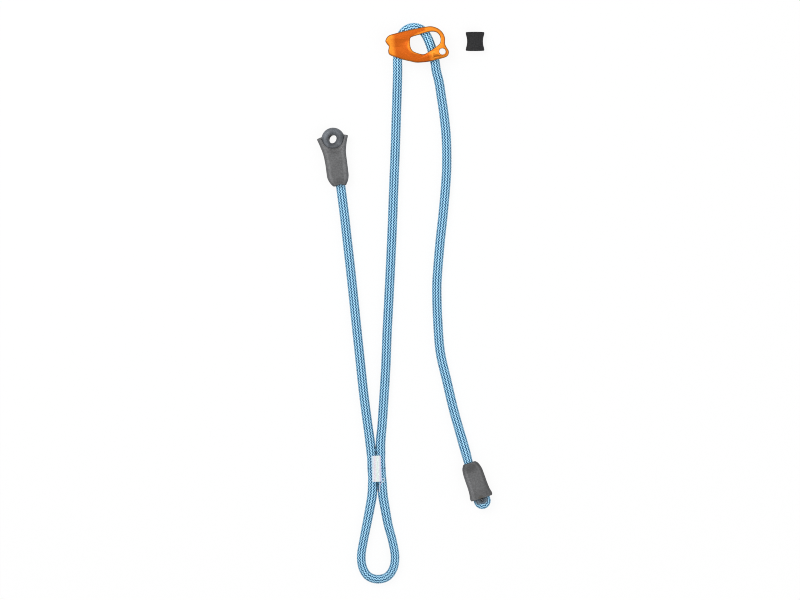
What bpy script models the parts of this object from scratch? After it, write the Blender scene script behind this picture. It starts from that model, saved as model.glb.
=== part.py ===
"""Adjustable twin lanyard, laid flat: one rope, a stitched tie-in loop, a fixed arm and an adjustable arm.

Sizes are in millimetres. The lanyard lies in the plane of the floor, +X right and +Y up the page.
"""
import math

import bmesh
import bpy
from mathutils import Vector

MM = 0.001
GAP = 0.3
CUT_MARGIN = 1.0
SHARP_DEGREES = 45.0

# Thread
THREAD_THICKNESS = 0.45
THREAD_WEB = 0.5

# Rope
ROPE_RADIUS = 4.8
ROPE_SIDE_COUNT = 12
STITCHED_RADIUS = ROPE_RADIUS - GAP - THREAD_THICKNESS
FLOOR_HEIGHT = ROPE_RADIUS
ARM_STEP = 13.0
LOOP_STEP = 8.0
BEND_STEP = 3.6
END_STEP = 3.2

# Stitching that closes the tie-in loop
LOOP_STITCH_LENGTH = 26.0
LOOP_STITCH_WIDTH = 10.0
LOOP_STITCH_CENTRE = (-28.45, -202.6)
LOOP_STITCH_LEAN = 2.0
LOOP_STRAND_OFFSET = STITCHED_RADIUS + THREAD_WEB / 2 + GAP
LOOP_LEFT = LOOP_STITCH_CENTRE[0] - LOOP_STRAND_OFFSET
LOOP_RIGHT = LOOP_STITCH_CENTRE[0] + LOOP_STRAND_OFFSET

# Adjuster, drawn about the point that it tilts on
TILT_PIVOT = (9.0, 224.5)
PLATE_THICKNESS = 3.9
CHANNEL_CLEARANCE = 0.3
CHANNEL_HEIGHT = 2.0 * (ROPE_RADIUS + CHANNEL_CLEARANCE)
CHANNEL_MIDDLE = PLATE_THICKNESS + CHANNEL_HEIGHT / 2
OUTER_RIM_RADIUS = 1.9
INNER_RIM_RADIUS = 0.8
OPENING_RIM_RADIUS = 1.3
OUTLINE_STEP = 2.6
BEND_RADIUS = 13.7
BOLLARD_RADIUS = BEND_RADIUS - ROPE_RADIUS - GAP
BAR_EDGE_RADIUS = 0.5
NOSE_BAR_RADIUS = 2.0
HEEL_BAR_RADIUS = 1.6
RELEASE_HOLE_CENTRE = (28.4, -10.1)
RELEASE_HOLE_RADIUS = 3.2
RELEASE_HOLE_RIM = 0.8
LUG_PAD_START = (21.0, -12.9)
LUG_PAD_END = (28.4, -10.6)
LUG_PAD_RADIUS = 4.5
LUG_PAD_HEIGHT = 0.7
RIVET_RADIUS = 0.8
RIVET_HEAD_RADIUS = 1.5
RIVET_HEAD_EDGE = 0.3
RIVET_HEAD_DEPTH = 0.7
RIVET_BITE = 1.6

# Pair of strands inside each sleeve, measured from the throat towards the mouth
STRAND_HALF_WIDTH = ROPE_RADIUS - 0.7
STRAND_HALF_HEIGHT = ROPE_RADIUS - 0.1
STRAND_OFFSET = STRAND_HALF_WIDTH + THREAD_WEB / 2 + GAP
ROPE_END_DEPTH = 6.25
STRAIGHT_START = 20.0
TAIL_OVERRUN = 4.4
END_STITCH_LENGTH = 13.0
END_STITCH_WIDTH = 9.0
END_STITCH_MARGIN = 0.5
END_STITCH_DISTANCE = STRAIGHT_START + END_STITCH_MARGIN + END_STITCH_LENGTH / 2
STRAIGHT_END = END_STITCH_DISTANCE + END_STITCH_LENGTH / 2

# Sleeves
SLEEVE_WALL = 1.1
SLEEVE_CLEARANCE = 0.45
SLEEVE_HALF_WIDTH = STRAND_OFFSET + STRAND_HALF_WIDTH + SLEEVE_CLEARANCE + SLEEVE_WALL
SLEEVE_HALF_THICKNESS = STRAND_HALF_HEIGHT + GAP + THREAD_THICKNESS + SLEEVE_CLEARANCE + SLEEVE_WALL
SLEEVE_MIDDLE = SLEEVE_HALF_THICKNESS
SLEEVE_SQUARENESS = 3.4
THROAT_RADIUS = ROPE_RADIUS + 0.5
THROAT_HEIGHT = ROPE_RADIUS + 1.6
THROAT_LENGTH = 3.5
MOUTH_OVERRUN = 6.0

# Fixed end
FIXED_END_THROAT = (-64.2, 79.0)
FIXED_END_TURN = 7.5
FIXED_END_CENTRE = -1.4
EYE_HOLE_RADIUS = 4.2
EYE_OUTER_RADIUS = 11.7
EYE_NECK_LENGTH = 3.0
EYE_DISTANCE = STRAIGHT_END + EYE_NECK_LENGTH + EYE_OUTER_RADIUS
EYE_MIDDLE_RADIUS = (EYE_HOLE_RADIUS + EYE_OUTER_RADIUS) / 2
EYE_COVER_WALL = 1.0
EYE_COVER_SQUARENESS = 2.0
EYE_ROPE_HALF_WIDTH = (EYE_OUTER_RADIUS - EYE_HOLE_RADIUS) / 2 - GAP - EYE_COVER_WALL
EYE_ROPE_HALF_HEIGHT = ROPE_RADIUS - 0.6
EYE_COVER_HALF_THICKNESS = EYE_ROPE_HALF_HEIGHT + GAP + EYE_COVER_WALL
EYE_ARCH_DEGREES = (-25, 5, 35, 62, 90, 118, 145, 175, 205)
EYE_SCOOP_RADIUS = EYE_OUTER_RADIUS + GAP + 0.1
EYE_SCOOP_SHIFT = 2.8
EYE_SLOT_RADIUS = (EYE_HOLE_RADIUS + EYE_OUTER_RADIUS) / 2
EYE_MOUTH_BULGE = 3.0
EYE_MOUTH_REACH = 9.0

# Free end
FREE_END_THROAT = (63.8, -198.0)
FREE_END_TURN = 198.0
FREE_END_CENTRE = -1.5
FOLD_LENGTH = 14.0
FOLD_TIP_DISTANCE = STRAIGHT_END + FOLD_LENGTH
FOLD_HALF_WIDTH = ROPE_RADIUS - 0.8
FOLD_HALF_HEIGHT = ROPE_RADIUS - 0.2
FOLD_ARCH_DEGREES = (0, 30, 60, 90, 120, 150, 180)

# Keeper ring
KEEPER_CENTRE = (70.0, 224.9)
KEEPER_LENGTH = 18.6
KEEPER_RIM_WIDTH = 18.7
KEEPER_WAIST_WIDTH = 15.6
KEEPER_RIM_THICKNESS = 10.6
KEEPER_WAIST_THICKNESS = 9.0
KEEPER_WALL = 1.7
KEEPER_ROW_COUNT = 9

# Depth and inset, as shares of the radius, round a quarter turn of an edge
QUARTER_ROUND = [
    (1.0 - math.sin(math.radians(turn)), 1.0 - math.cos(math.radians(turn))) for turn in (0, 30, 60, 90)
]

# Routes: across, up the page, and how far the rope has risen from the floor to its end's height
FIXED_ARM_ROUTE = [
    (*FIXED_END_THROAT, 1.0), (-62.1, 63.0, 1.0), (-60.1, 47.0, 0.9), (-57.8, 26.0, 0.3),
    (-54.6, -2.0, 0.0), (-51.2, -34.0, 0.0), (-47.9, -66.0, 0.0), (-44.7, -96.0, 0.0),
    (-41.5, -126.0, 0.0), (-37.9, -154.0, 0.0), (-34.9, -176.0, 0.0), (LOOP_LEFT - 0.4, -190.0, 0.0),
    (LOOP_LEFT, -202.4, 0.0),
]
LOOP_ROUTE = [
    (LOOP_LEFT, -202.8, 0.0), (LOOP_LEFT + 0.4, -214.0, 0.0), (-33.2, -228.0, 0.0), (-35.4, -242.0, 0.0),
    (-38.4, -258.0, 0.0), (-41.5, -275.0, 0.0), (-43.8, -290.0, 0.0), (-42.2, -302.0, 0.0),
    (-36.4, -310.2, 0.0), (-27.0, -312.9, 0.0), (-17.6, -310.2, 0.0), (-11.8, -302.0, 0.0),
    (-10.2, -290.0, 0.0), (-12.4, -275.0, 0.0), (-16.5, -259.0, 0.0), (-19.9, -242.0, 0.0),
    (-21.9, -228.0, 0.0), (LOOP_RIGHT + 1.0, -214.0, 0.0), (LOOP_RIGHT, -202.8, 0.0),
]
ADJUSTABLE_ARM_ROUTE = [
    (LOOP_RIGHT, -202.4, 0.0), (LOOP_RIGHT - 0.5, -190.0, 0.0), (-24.4, -176.0, 0.0), (-22.8, -158.0, 0.0),
    (-20.5, -129.0, 0.0), (-18.5, -99.0, 0.0), (-17.3, -69.0, 0.0), (-15.6, -34.0, 0.0),
    (-14.0, 4.0, 0.0), (-12.6, 42.0, 0.0), (-11.2, 80.0, 0.0), (-9.7, 118.0, 0.0),
    (-8.6, 152.0, 0.0), (-8.0, 171.0, 0.1), (-7.6, 184.0, 0.5), (-7.4, 196.0, 0.95),
    (-7.5, 205.0, 1.0), (-7.05, 212.0, 1.0),
]
BEND_START = [(-7.03, 212.35, 1.0), (-6.6, 218.5, 1.0)]
BEND_ARCH_DEGREES = (172.0, 147.0, 122.0, 97.0, 72.0, 47.0, 22.0)
BEND_END = [(24.6, 223.2, 1.0), (26.7, 217.0, 1.0), (28.2, 211.35, 1.0)]
FREE_ARM_ROUTE = [
    (28.3, 211.0, 1.0), (30.0, 204.0, 1.0), (31.7, 195.0, 0.95), (34.2, 183.0, 0.5), (36.2, 170.0, 0.1),
    (38.6, 154.0, 0.0), (41.0, 132.0, 0.0), (41.7, 112.0, 0.0), (41.3, 90.0, 0.0), (38.8, 56.0, 0.0),
    (35.4, 22.0, 0.0), (32.6, -10.0, 0.0), (31.8, -28.0, 0.0), (32.8, -56.0, 0.0), (35.3, -86.0, 0.0),
    (41.6, -114.0, 0.0), (48.9, -145.0, 0.25), (56.6, -174.5, 0.9), (61.1, -189.5, 1.0),
    (*FREE_END_THROAT, 1.0),
]

ADJUSTER_OUTLINE = [
    (-28.1, 1.1), (-24.9, 6.2), (-17.8, 8.7), (-8.9, 10.9), (2.3, 13.3), (10.3, 14.8), (17.4, 15.5),
    (23.9, 13.6), (28.6, 9.1), (30.7, 3.7), (30.7, -2.1), (32.4, -5.8), (34.4, -9.4), (33.9, -13.0),
    (30.9, -15.4), (24.6, -17.3), (15.6, -19.5), (3.6, -20.9), (-4.0, -19.5), (-11.1, -17.8),
    (-18.7, -15.3), (-24.2, -12.9), (-25.4, -9.6), (-24.9, -5.0), (-26.9, -2.0),
]
OPENING_OUTLINE = [
    (-4.0, 0.6), (-3.4, 3.6), (-0.4, 5.1), (5.8, 6.9), (11.2, 8.6), (17.4, 9.8), (22.3, 9.1), (25.5, 6.0),
    (26.6, 1.8), (25.6, -2.3), (21.9, -5.6), (15.6, -9.9), (10.4, -12.8), (6.4, -12.6), (0.0, -10.4),
    (-2.7, -7.6), (-3.8, -3.9),
]
NOSE_BAR_ENDS = ((-24.4, 2.4), (-23.9, -2.4))
HEEL_BAR_ENDS = ((28.6, 4.4), (28.4, -1.6))
BOLLARD_RIVET = (-6.5, 0.8)

# Stations of a sleeve: distance from the throat, sideways centre, flare past the full half width and
# inset from the full half thickness
FIXED_SLEEVE_STATIONS = [
    (0.9, -0.4, -3.8, 0.8), (2.6, -0.8, -2.3, 0.4), (5.4, -1.0, -0.8, 0.1), (10.0, -1.1, 0.2, 0.0),
    (16.0, -1.1, 0.2, 0.0), (24.0, -1.1, 0.0, 0.0), (34.0, -1.4, 0.6, 0.0), (42.0, -1.6, 2.4, 0.0),
    (47.5, -1.5, 4.1, 0.0), (49.8, -1.5, 5.0, 0.0), (50.5, -1.5, 4.7, 0.0),
]
FREE_SLEEVE_STATIONS = [
    (-0.2, -0.6, -3.7, 0.8), (1.4, -1.0, -2.5, 0.4), (3.6, -1.1, -1.2, 0.1), (8.0, -1.3, -0.35, 0.0),
    (14.0, -1.4, -0.1, 0.0), (22.0, -1.6, -0.1, 0.0), (29.0, -1.7, 0.3, 0.0), (33.4, -1.8, 1.2, 0.0),
    (35.2, -1.8, 1.1, 0.0), (36.4, -1.8, 0.4, 0.3),
]


def clear_scene():
    """Remove whatever the file holds."""
    for old in list(bpy.data.objects):
        bpy.data.objects.remove(old, do_unlink=True)


def make_material(name, colour, roughness, metallic=0.0):
    """Return a Principled material."""
    material = bpy.data.materials.new(name)
    material.use_nodes = True
    shader = material.node_tree.nodes["Principled BSDF"]
    shader.inputs["Base Color"].default_value = (*colour, 1.0)
    shader.inputs["Roughness"].default_value = roughness
    shader.inputs["Metallic"].default_value = metallic
    return material


def make_frame(name, place, turn):
    """Return an empty at a place in millimetres, turned about +Z by degrees."""
    frame = bpy.data.objects.new(name, None)
    bpy.context.scene.collection.objects.link(frame)
    frame.location = (place[0] * MM, place[1] * MM, 0.0)
    frame.rotation_euler = (0.0, 0.0, math.radians(turn))
    return frame


def catmull_rom(before, start, end, after, share):
    """Return the point at a share of the way from start to end on a smooth curve."""
    square = share * share
    cube = square * share
    return 0.5 * (
        2.0 * start
        + (end - before) * share
        + (2.0 * before - 5.0 * start + 4.0 * end - after) * square
        + (3.0 * start - before - 3.0 * end + after) * cube
    )


def smooth_route(route, step, closed=False):
    """Return evenly spaced points on a smooth curve through a route's points."""
    knots = [Vector(point) for point in route]
    if closed:
        padded = [knots[-1], *knots, knots[0], knots[1]]
    else:
        padded = [2.0 * knots[0] - knots[1], *knots, 2.0 * knots[-1] - knots[-2]]
    fine = []
    for index in range(1, len(padded) - 2):
        around = padded[index - 1:index + 3]
        fine += [catmull_rom(*around, part / 24.0) for part in range(24)]
    fine.append(padded[-2])
    lengths = [0.0]
    for start, end in zip(fine, fine[1:]):
        lengths.append(lengths[-1] + (end - start).length)
    count = max(2, round(lengths[-1] / step))
    points = []
    place = 0
    for index in range(count + 1):
        target = lengths[-1] * index / count
        while place < len(lengths) - 2 and lengths[place + 1] < target:
            place += 1
        share = (target - lengths[place]) / (lengths[place + 1] - lengths[place])
        points.append(fine[place].lerp(fine[place + 1], min(1.0, share)))
    return points[:-1] if closed else points


def link_mesh(name, mesh_data, material, parent):
    """Turn a bmesh drawn in millimetres into a named, shaded object."""
    bmesh.ops.scale(mesh_data, vec=(MM, MM, MM), verts=mesh_data.verts)
    bmesh.ops.recalc_face_normals(mesh_data, faces=mesh_data.faces)
    mesh = bpy.data.meshes.new(name)
    mesh_data.to_mesh(mesh)
    mesh_data.free()
    mesh.shade_smooth()
    mesh.set_sharp_from_angle(angle=math.radians(SHARP_DEGREES))
    thing = bpy.data.objects.new(name, mesh)
    bpy.context.scene.collection.objects.link(thing)
    thing.data.materials.append(material)
    thing.parent = parent
    return thing


def loft(rings, closed=False, strips=False):
    """Join rings of equal count with faces; an open loft gets flat ends, or ends of strips that may bulge."""
    mesh_data = bmesh.new()
    rows = [[mesh_data.verts.new(point) for point in ring] for ring in rings]
    pairs = list(zip(rows, rows[1:]))
    if closed:
        pairs.append((rows[-1], rows[0]))
    for low, high in pairs:
        for index in range(len(low)):
            following = (index + 1) % len(low)
            mesh_data.faces.new((low[index], low[following], high[following], high[index]))
    if strips:
        for row in (rows[0], rows[-1]):
            for index in range(len(row) // 2 - 1):
                across = (row[-1 - index], row[-2 - index])
                mesh_data.faces.new((row[index], across[0], across[1], row[index + 1]))
    elif not closed:
        mesh_data.faces.new(list(reversed(rows[0])))
        mesh_data.faces.new(rows[-1])
    return mesh_data


def offset_outline(outline, distance):
    """Move an anticlockwise outline outwards along its corner normals."""
    moved = []
    for index, point in enumerate(outline):
        before = outline[index - 1]
        after = outline[(index + 1) % len(outline)]
        along = Vector((after[0] - before[0], after[1] - before[1])).normalized()
        moved.append((point[0] + along.y * distance, point[1] - along.x * distance))
    return moved


def flat_curve(outline, step):
    """Return a smooth closed outline, anticlockwise, from its few points."""
    points = smooth_route([(x, y, 0.0) for x, y in outline], step, closed=True)
    area = sum(a.x * b.y - b.x * a.y for a, b in zip(points, points[1:] + points[:1]))
    if area < 0.0:
        points.reverse()
    return [(point.x, point.y) for point in points]


def capsule(start, end, radius, steps=10):
    """Return the outline of a bar with round ends."""
    heading = math.atan2(end[1] - start[1], end[0] - start[0])
    outline = []
    for centre, base in ((end, heading - math.pi / 2), (start, heading + math.pi / 2)):
        for index in range(steps + 1):
            angle = base + math.pi * index / steps
            outline.append((centre[0] + radius * math.cos(angle), centre[1] + radius * math.sin(angle)))
    return outline


def circle(centre, radius, steps=32):
    """Return a round outline."""
    turns = [math.tau * index / steps for index in range(steps)]
    return [(centre[0] + radius * math.cos(turn), centre[1] + radius * math.sin(turn)) for turn in turns]


def slab(outline, levels):
    """Loft an outline through levels of height and outward offset."""
    rings = []
    for height, distance in levels:
        rings.append([(x, y, height) for x, y in offset_outline(outline, distance)])
    return loft(rings)


def rounded_levels(low, high, high_radius, low_radius):
    """Return slab levels that round the edges at both faces."""
    rise = [(low + low_radius * depth, -low_radius * inset) for depth, inset in QUARTER_ROUND]
    fall = [(high - high_radius * depth, -high_radius * inset) for depth, inset in QUARTER_ROUND]
    return rise[::-1] + fall


def flared_levels(low, high, radius):
    """Return cutter levels that round the rim of a hole at both faces."""
    enter = [(low + radius * inset, radius * depth) for depth, inset in QUARTER_ROUND]
    leave = [(high - radius * inset, radius * depth) for depth, inset in QUARTER_ROUND]
    return [(low - CUT_MARGIN, radius), *enter, *leave[::-1], (high + CUT_MARGIN, radius)]


def cut(thing, cutter, operation="DIFFERENCE"):
    """Cut one object with another, or join them."""
    cutter.hide_render = True
    cutter.display_type = "WIRE"
    change = thing.modifiers.new(cutter.name, "BOOLEAN")
    change.operation = operation
    change.solver = "EXACT"
    change.object = cutter


def ahead(place, turn, distance):
    """Return the point at a distance ahead of a place that faces +Y turned by degrees."""
    angle = math.radians(turn)
    return (place[0] - distance * math.sin(angle), place[1] + distance * math.cos(angle))


def raised(route, height):
    """Give a route its heights: the third value is the share of the rise from the floor to a height."""
    return [(x, y, FLOOR_HEIGHT + share * (height - FLOOR_HEIGHT)) for x, y, share in route]


def rope_curve(name, route, step, material):
    """Make a stretch of rope, which the loop's stitching squeezes."""
    points = smooth_route(route, step)
    curve = bpy.data.curves.new(name, "CURVE")
    curve.dimensions = "3D"
    curve.bevel_depth = ROPE_RADIUS * MM
    curve.bevel_resolution = ROPE_SIDE_COUNT // 2 - 2
    curve.use_fill_caps = True
    spline = curve.splines.new("POLY")
    spline.points.add(len(points) - 1)
    for knot, point in zip(spline.points, points):
        height = max(point.z, FLOOR_HEIGHT)
        knot.co = (point.x * MM, point.y * MM, height * MM, 1.0)
        past_stitch = abs(point.y - LOOP_STITCH_CENTRE[1]) / (LOOP_STITCH_LENGTH / 2 + CUT_MARGIN) - 1.0
        share = min(1.0, max(0.0, past_stitch))
        knot.radius = (STITCHED_RADIUS + (ROPE_RADIUS - STITCHED_RADIUS) * share) / ROPE_RADIUS
    curve.materials.append(material)
    rope = bpy.data.objects.new(name, curve)
    bpy.context.scene.collection.objects.link(rope)
    return rope


def rope_sweep(stations, step, growth):
    """Sweep an oval section; each station holds x, y, z, half width and half height."""
    path = smooth_route([station[:3] for station in stations], step)
    widths = smooth_sizes(stations, path)
    rings = []
    for index, point in enumerate(path):
        before = path[max(0, index - 1)]
        after = path[min(len(path) - 1, index + 1)]
        along = (after - before).normalized()
        across = along.cross(Vector((0.0, 0.0, 1.0))).normalized()
        rise = across.cross(along)
        ring = []
        for side in range(ROPE_SIDE_COUNT):
            turn = math.tau * (side + 0.5) / ROPE_SIDE_COUNT
            half_width, half_height = widths[index]
            ring.append(
                point
                + across * (half_width + growth) * math.cos(turn)
                + rise * (half_height + growth) * math.sin(turn)
            )
        rings.append(ring)
    return loft(rings)


def smooth_sizes(stations, path):
    """Return the section's half width and height at each point of a path."""
    sizes = []
    for point in path:
        nearest = sorted(stations, key=lambda station: (Vector(station[:3]) - point).length)[:2]
        gaps = [(Vector(station[:3]) - point).length for station in nearest]
        share = gaps[0] / max(1e-6, gaps[0] + gaps[1])
        first, second = nearest
        sizes.append(tuple(first[k] * (1.0 - share) + second[k] * share for k in (3, 4)))
    return sizes


def oval_ring(centre, half_width, half_height, level, squareness, count=28):
    """Return a rounded rectangle across the sleeve's length."""
    ring = []
    for index in range(count):
        turn = math.tau * (index + 0.5) / count
        cosine = math.cos(turn)
        sine = math.sin(turn)
        reach = math.copysign(abs(cosine) ** (2.0 / squareness), cosine)
        rise = math.copysign(abs(sine) ** (2.0 / squareness), sine)
        ring.append((centre[0] + half_width * reach, level, centre[1] + half_height * rise))
    return ring


def sleeve_ring(station, wall, level, bulge):
    """Return a ring of a sleeve at a level, inside its outer skin by a wall; a bulge pushes its middle on."""
    half_width = SLEEVE_HALF_WIDTH + station[2] - wall
    half_thickness = SLEEVE_HALF_THICKNESS - station[3] - wall
    ring = oval_ring((station[1], SLEEVE_MIDDLE), half_width, half_thickness, level, SLEEVE_SQUARENESS)
    return [(x, y + bulge * (1.0 - ((x - station[1]) / half_width) ** 2), z) for x, y, z in ring]


def sleeve(name, stations, bulge, material, parent):
    """Make a moulded sleeve: a lofted shell with a round throat and a flared mouth, which may bulge."""
    mouth = stations[-1][0]
    outer = []
    inner = []
    for station in stations:
        share = max(0.0, 1.0 - (mouth - station[0]) / EYE_MOUTH_REACH)
        outer.append(sleeve_ring(station, 0.0, station[0], bulge * share))
        if station[0] > THROAT_LENGTH:
            inner.append(sleeve_ring(station, SLEEVE_WALL, station[0], bulge * share))
    shell = link_mesh(name, loft(outer, strips=True), material, parent)
    inner.append(sleeve_ring(stations[-1], SLEEVE_WALL, mouth + MOUTH_OVERRUN, bulge))
    cut(shell, link_mesh(name + "_cavity", loft(inner, strips=True), material, parent))
    throat = []
    for level in (stations[0][0] - CUT_MARGIN, THROAT_LENGTH + 2.0 * CUT_MARGIN + MOUTH_OVERRUN / 2):
        throat.append(oval_ring((0.0, THROAT_HEIGHT), THROAT_RADIUS, THROAT_RADIUS, level, 2.0))
    cut(shell, link_mesh(name + "_throat", loft(throat), material, parent))
    return shell


def stitching(name, place, turn, size, strand_offset, strand_radius, middle, material, parent=None):
    """Make a bar of thread over, between and under two strands of rope, size being its length and width."""
    half = size[1] / 2
    web = THREAD_WEB / 2
    low = middle - strand_radius - GAP
    high = middle + strand_radius + GAP
    top = high + THREAD_THICKNESS
    crest = min(half, strand_offset) * 0.9
    profile = [
        (-web, low), (-half, low), (-half, low - THREAD_THICKNESS), (half, low - THREAD_THICKNESS),
        (half, low), (web, low), (web, high), (half, high), (half, (high + top) / 2), (crest, top),
        (0.0, high + THREAD_THICKNESS * 0.7), (-crest, top), (-half, (high + top) / 2), (-half, high),
        (-web, high),
    ]
    rings = [[(x, along, z) for x, z in profile] for along in (-size[0] / 2, size[0] / 2)]
    bar = link_mesh(name, loft(rings), material, parent)
    bar.location = (place[0] * MM, place[1] * MM, 0.0)
    bar.rotation_euler = (0.0, 0.0, math.radians(turn))
    return bar


def build_rope_arms(rope, thread):
    """Make the free stretches of rope, the bend round the saddle and the loop's stitching."""
    fixed_arm = [(*ahead(FIXED_END_THROAT, FIXED_END_TURN, ROPE_END_DEPTH), 1.0), *FIXED_ARM_ROUTE]
    rope_curve("rope_fixed_arm", raised(fixed_arm, THROAT_HEIGHT), ARM_STEP, rope)
    rope_curve("rope_tie_in_loop", raised(LOOP_ROUTE, FLOOR_HEIGHT), LOOP_STEP, rope)
    rope_curve("rope_adjustable_arm", raised(ADJUSTABLE_ARM_ROUTE, CHANNEL_MIDDLE), ARM_STEP, rope)
    arch = []
    for degrees in BEND_ARCH_DEGREES:
        arch.append((*ahead(TILT_PIVOT, degrees - 90.0, BEND_RADIUS), 1.0))
    rope_curve("rope_bend", raised(BEND_START + arch + BEND_END, CHANNEL_MIDDLE), BEND_STEP, rope)
    half = len(FREE_ARM_ROUTE) // 2
    free_end = (*ahead(FREE_END_THROAT, FREE_END_TURN, ROPE_END_DEPTH), 1.0)
    free_arm = raised(FREE_ARM_ROUTE[:half], CHANNEL_MIDDLE)
    free_arm += raised([*FREE_ARM_ROUTE[half:], free_end], THROAT_HEIGHT)
    rope_curve("rope_free_arm", free_arm, ARM_STEP, rope)
    stitching("loop_stitching", LOOP_STITCH_CENTRE, LOOP_STITCH_LEAN, (LOOP_STITCH_LENGTH, LOOP_STITCH_WIDTH),
              LOOP_STRAND_OFFSET, STITCHED_RADIUS, FLOOR_HEIGHT, thread)


def adjuster_plate(name, levels, material, parent):
    """Make one cheek with its carabiner opening."""
    plate = link_mesh(name, slab(flat_curve(ADJUSTER_OUTLINE, OUTLINE_STEP), levels), material, parent)
    low = levels[0][0]
    high = levels[-1][0]
    opening = slab(flat_curve(OPENING_OUTLINE, OUTLINE_STEP), flared_levels(low, high, OPENING_RIM_RADIUS))
    cut(plate, link_mesh(name + "_opening", opening, material, parent))
    return plate


def drill(thing, label, centre, radius, low, high):
    """Drill a round hole through part of an object."""
    cutter = slab(circle(centre, radius, 20), [(low, 0.0), (high, 0.0)])
    cut(thing, link_mesh(thing.name + label, cutter, thing.active_material, thing.parent))


def rivet(name, centre, shank_end, material, parent):
    """Make a rivet with its head sunk in the back cheek."""
    profile = [
        (RIVET_HEAD_EDGE / 3, RIVET_HEAD_RADIUS - RIVET_HEAD_EDGE), (RIVET_HEAD_EDGE, RIVET_HEAD_RADIUS),
        (RIVET_HEAD_DEPTH, RIVET_HEAD_RADIUS), (RIVET_HEAD_DEPTH, RIVET_RADIUS), (shank_end, RIVET_RADIUS),
    ]
    rings = [[(x, y, height) for x, y in circle(centre, radius, 20)] for height, radius in profile]
    link_mesh(name, loft(rings), material, parent)


def build_adjuster(metal, steel, parent):
    """Make the two cheeks, the saddle that the rope bends round, the bars and the rivets."""
    front_low = PLATE_THICKNESS + CHANNEL_HEIGHT
    front_top = front_low + PLATE_THICKNESS
    pad_top = front_top + LUG_PAD_HEIGHT
    back_levels = rounded_levels(0.0, PLATE_THICKNESS, INNER_RIM_RADIUS, OUTER_RIM_RADIUS)
    front_levels = rounded_levels(front_low, front_top, OUTER_RIM_RADIUS, INNER_RIM_RADIUS)
    back = adjuster_plate("adjuster_back_plate", back_levels, metal, parent)
    front = adjuster_plate("adjuster_front_plate", front_levels, metal, parent)
    pad_levels = rounded_levels(front_top - OUTER_RIM_RADIUS, pad_top, LUG_PAD_HEIGHT, GAP)
    pad = slab(capsule(LUG_PAD_START, LUG_PAD_END, LUG_PAD_RADIUS), pad_levels)
    cut(front, link_mesh("lug_pad", pad, metal, parent), "UNION")
    for plate, low, high in ((back, 0.0, PLATE_THICKNESS), (front, front_low, pad_top)):
        hole_levels = flared_levels(low, high, RELEASE_HOLE_RIM)
        hole = slab(circle(RELEASE_HOLE_CENTRE, RELEASE_HOLE_RADIUS), hole_levels)
        cut(plate, link_mesh(plate.name + "_release_hole", hole, metal, parent))

    low = PLATE_THICKNESS + GAP
    high = front_low - GAP
    levels = rounded_levels(low, high, BAR_EDGE_RADIUS, BAR_EDGE_RADIUS)
    drum = slab(circle((0.0, 0.0), BOLLARD_RADIUS, 48), levels)
    bollard = link_mesh("adjuster_bollard", drum, metal, parent)
    past_bollard = [(low - CUT_MARGIN, 0.0), (high + CUT_MARGIN, 0.0)]
    opening = slab(flat_curve(OPENING_OUTLINE, OUTLINE_STEP), past_bollard)
    cut(bollard, link_mesh("adjuster_bollard_opening", opening, metal, parent))
    nose_bar = slab(capsule(*NOSE_BAR_ENDS, NOSE_BAR_RADIUS), levels)
    nose = link_mesh("adjuster_nose_bar", nose_bar, metal, parent)
    heel_bar = slab(capsule(*HEEL_BAR_ENDS, HEEL_BAR_RADIUS), levels)
    heel = link_mesh("adjuster_heel_bar", heel_bar, metal, parent)

    shank_end = front_low + RIVET_BITE
    riveted = (
        ("nose", nose, [sum(axis) / 2 for axis in zip(*NOSE_BAR_ENDS)]),
        ("heel", heel, [sum(axis) / 2 for axis in zip(*HEEL_BAR_ENDS)]),
        ("bollard", bollard, BOLLARD_RIVET),
    )
    for label, bar, centre in riveted:
        for thing in (bar, back, front):
            drill(thing, f"_{label}_rivet_hole", centre, RIVET_RADIUS + GAP, -CUT_MARGIN, shank_end + GAP)
        drill(back, f"_{label}_seat", centre, RIVET_HEAD_RADIUS + GAP, -CUT_MARGIN, RIVET_HEAD_DEPTH + GAP)
        rivet(f"adjuster_{label}_rivet", centre, shank_end, steel, parent)


def strand_pair(centre):
    """Return the middle line of each strand and the stations of both between the throat and the stitching."""
    live = centre + STRAND_OFFSET
    tail = centre - STRAND_OFFSET
    strand = (STRAND_HALF_WIDTH, STRAND_HALF_HEIGHT)
    live_leg = [
        (0.0, ROPE_END_DEPTH + GAP, THROAT_HEIGHT, ROPE_RADIUS - 0.5, ROPE_RADIUS - 0.5),
        (0.0, STRAIGHT_START - 9.6, THROAT_HEIGHT, ROPE_RADIUS - 0.6, ROPE_RADIUS - 0.3),
        (live * 0.5, STRAIGHT_START - 6.4, SLEEVE_MIDDLE - 0.2, *strand),
        (live * 0.95, STRAIGHT_START - 2.8, SLEEVE_MIDDLE, *strand),
        (live, STRAIGHT_START, SLEEVE_MIDDLE, *strand),
        (live, END_STITCH_DISTANCE, SLEEVE_MIDDLE, *strand),
        (live, STRAIGHT_END, SLEEVE_MIDDLE, *strand),
    ]
    tail_leg = [
        (tail, STRAIGHT_END, SLEEVE_MIDDLE, *strand),
        (tail, END_STITCH_DISTANCE, SLEEVE_MIDDLE, *strand),
        (tail, STRAIGHT_START, SLEEVE_MIDDLE, *strand),
        (tail, STRAIGHT_START - TAIL_OVERRUN, SLEEVE_MIDDLE, *strand),
    ]
    return live_leg, tail_leg


def end_stitching(name, centre, thread, parent):
    """Make the stitching that joins the two strands inside a sleeve."""
    stitching(name, (centre, END_STITCH_DISTANCE), 0.0, (END_STITCH_LENGTH, END_STITCH_WIDTH),
              STRAND_OFFSET, STRAND_HALF_HEIGHT, SLEEVE_MIDDLE, thread, parent)


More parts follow.
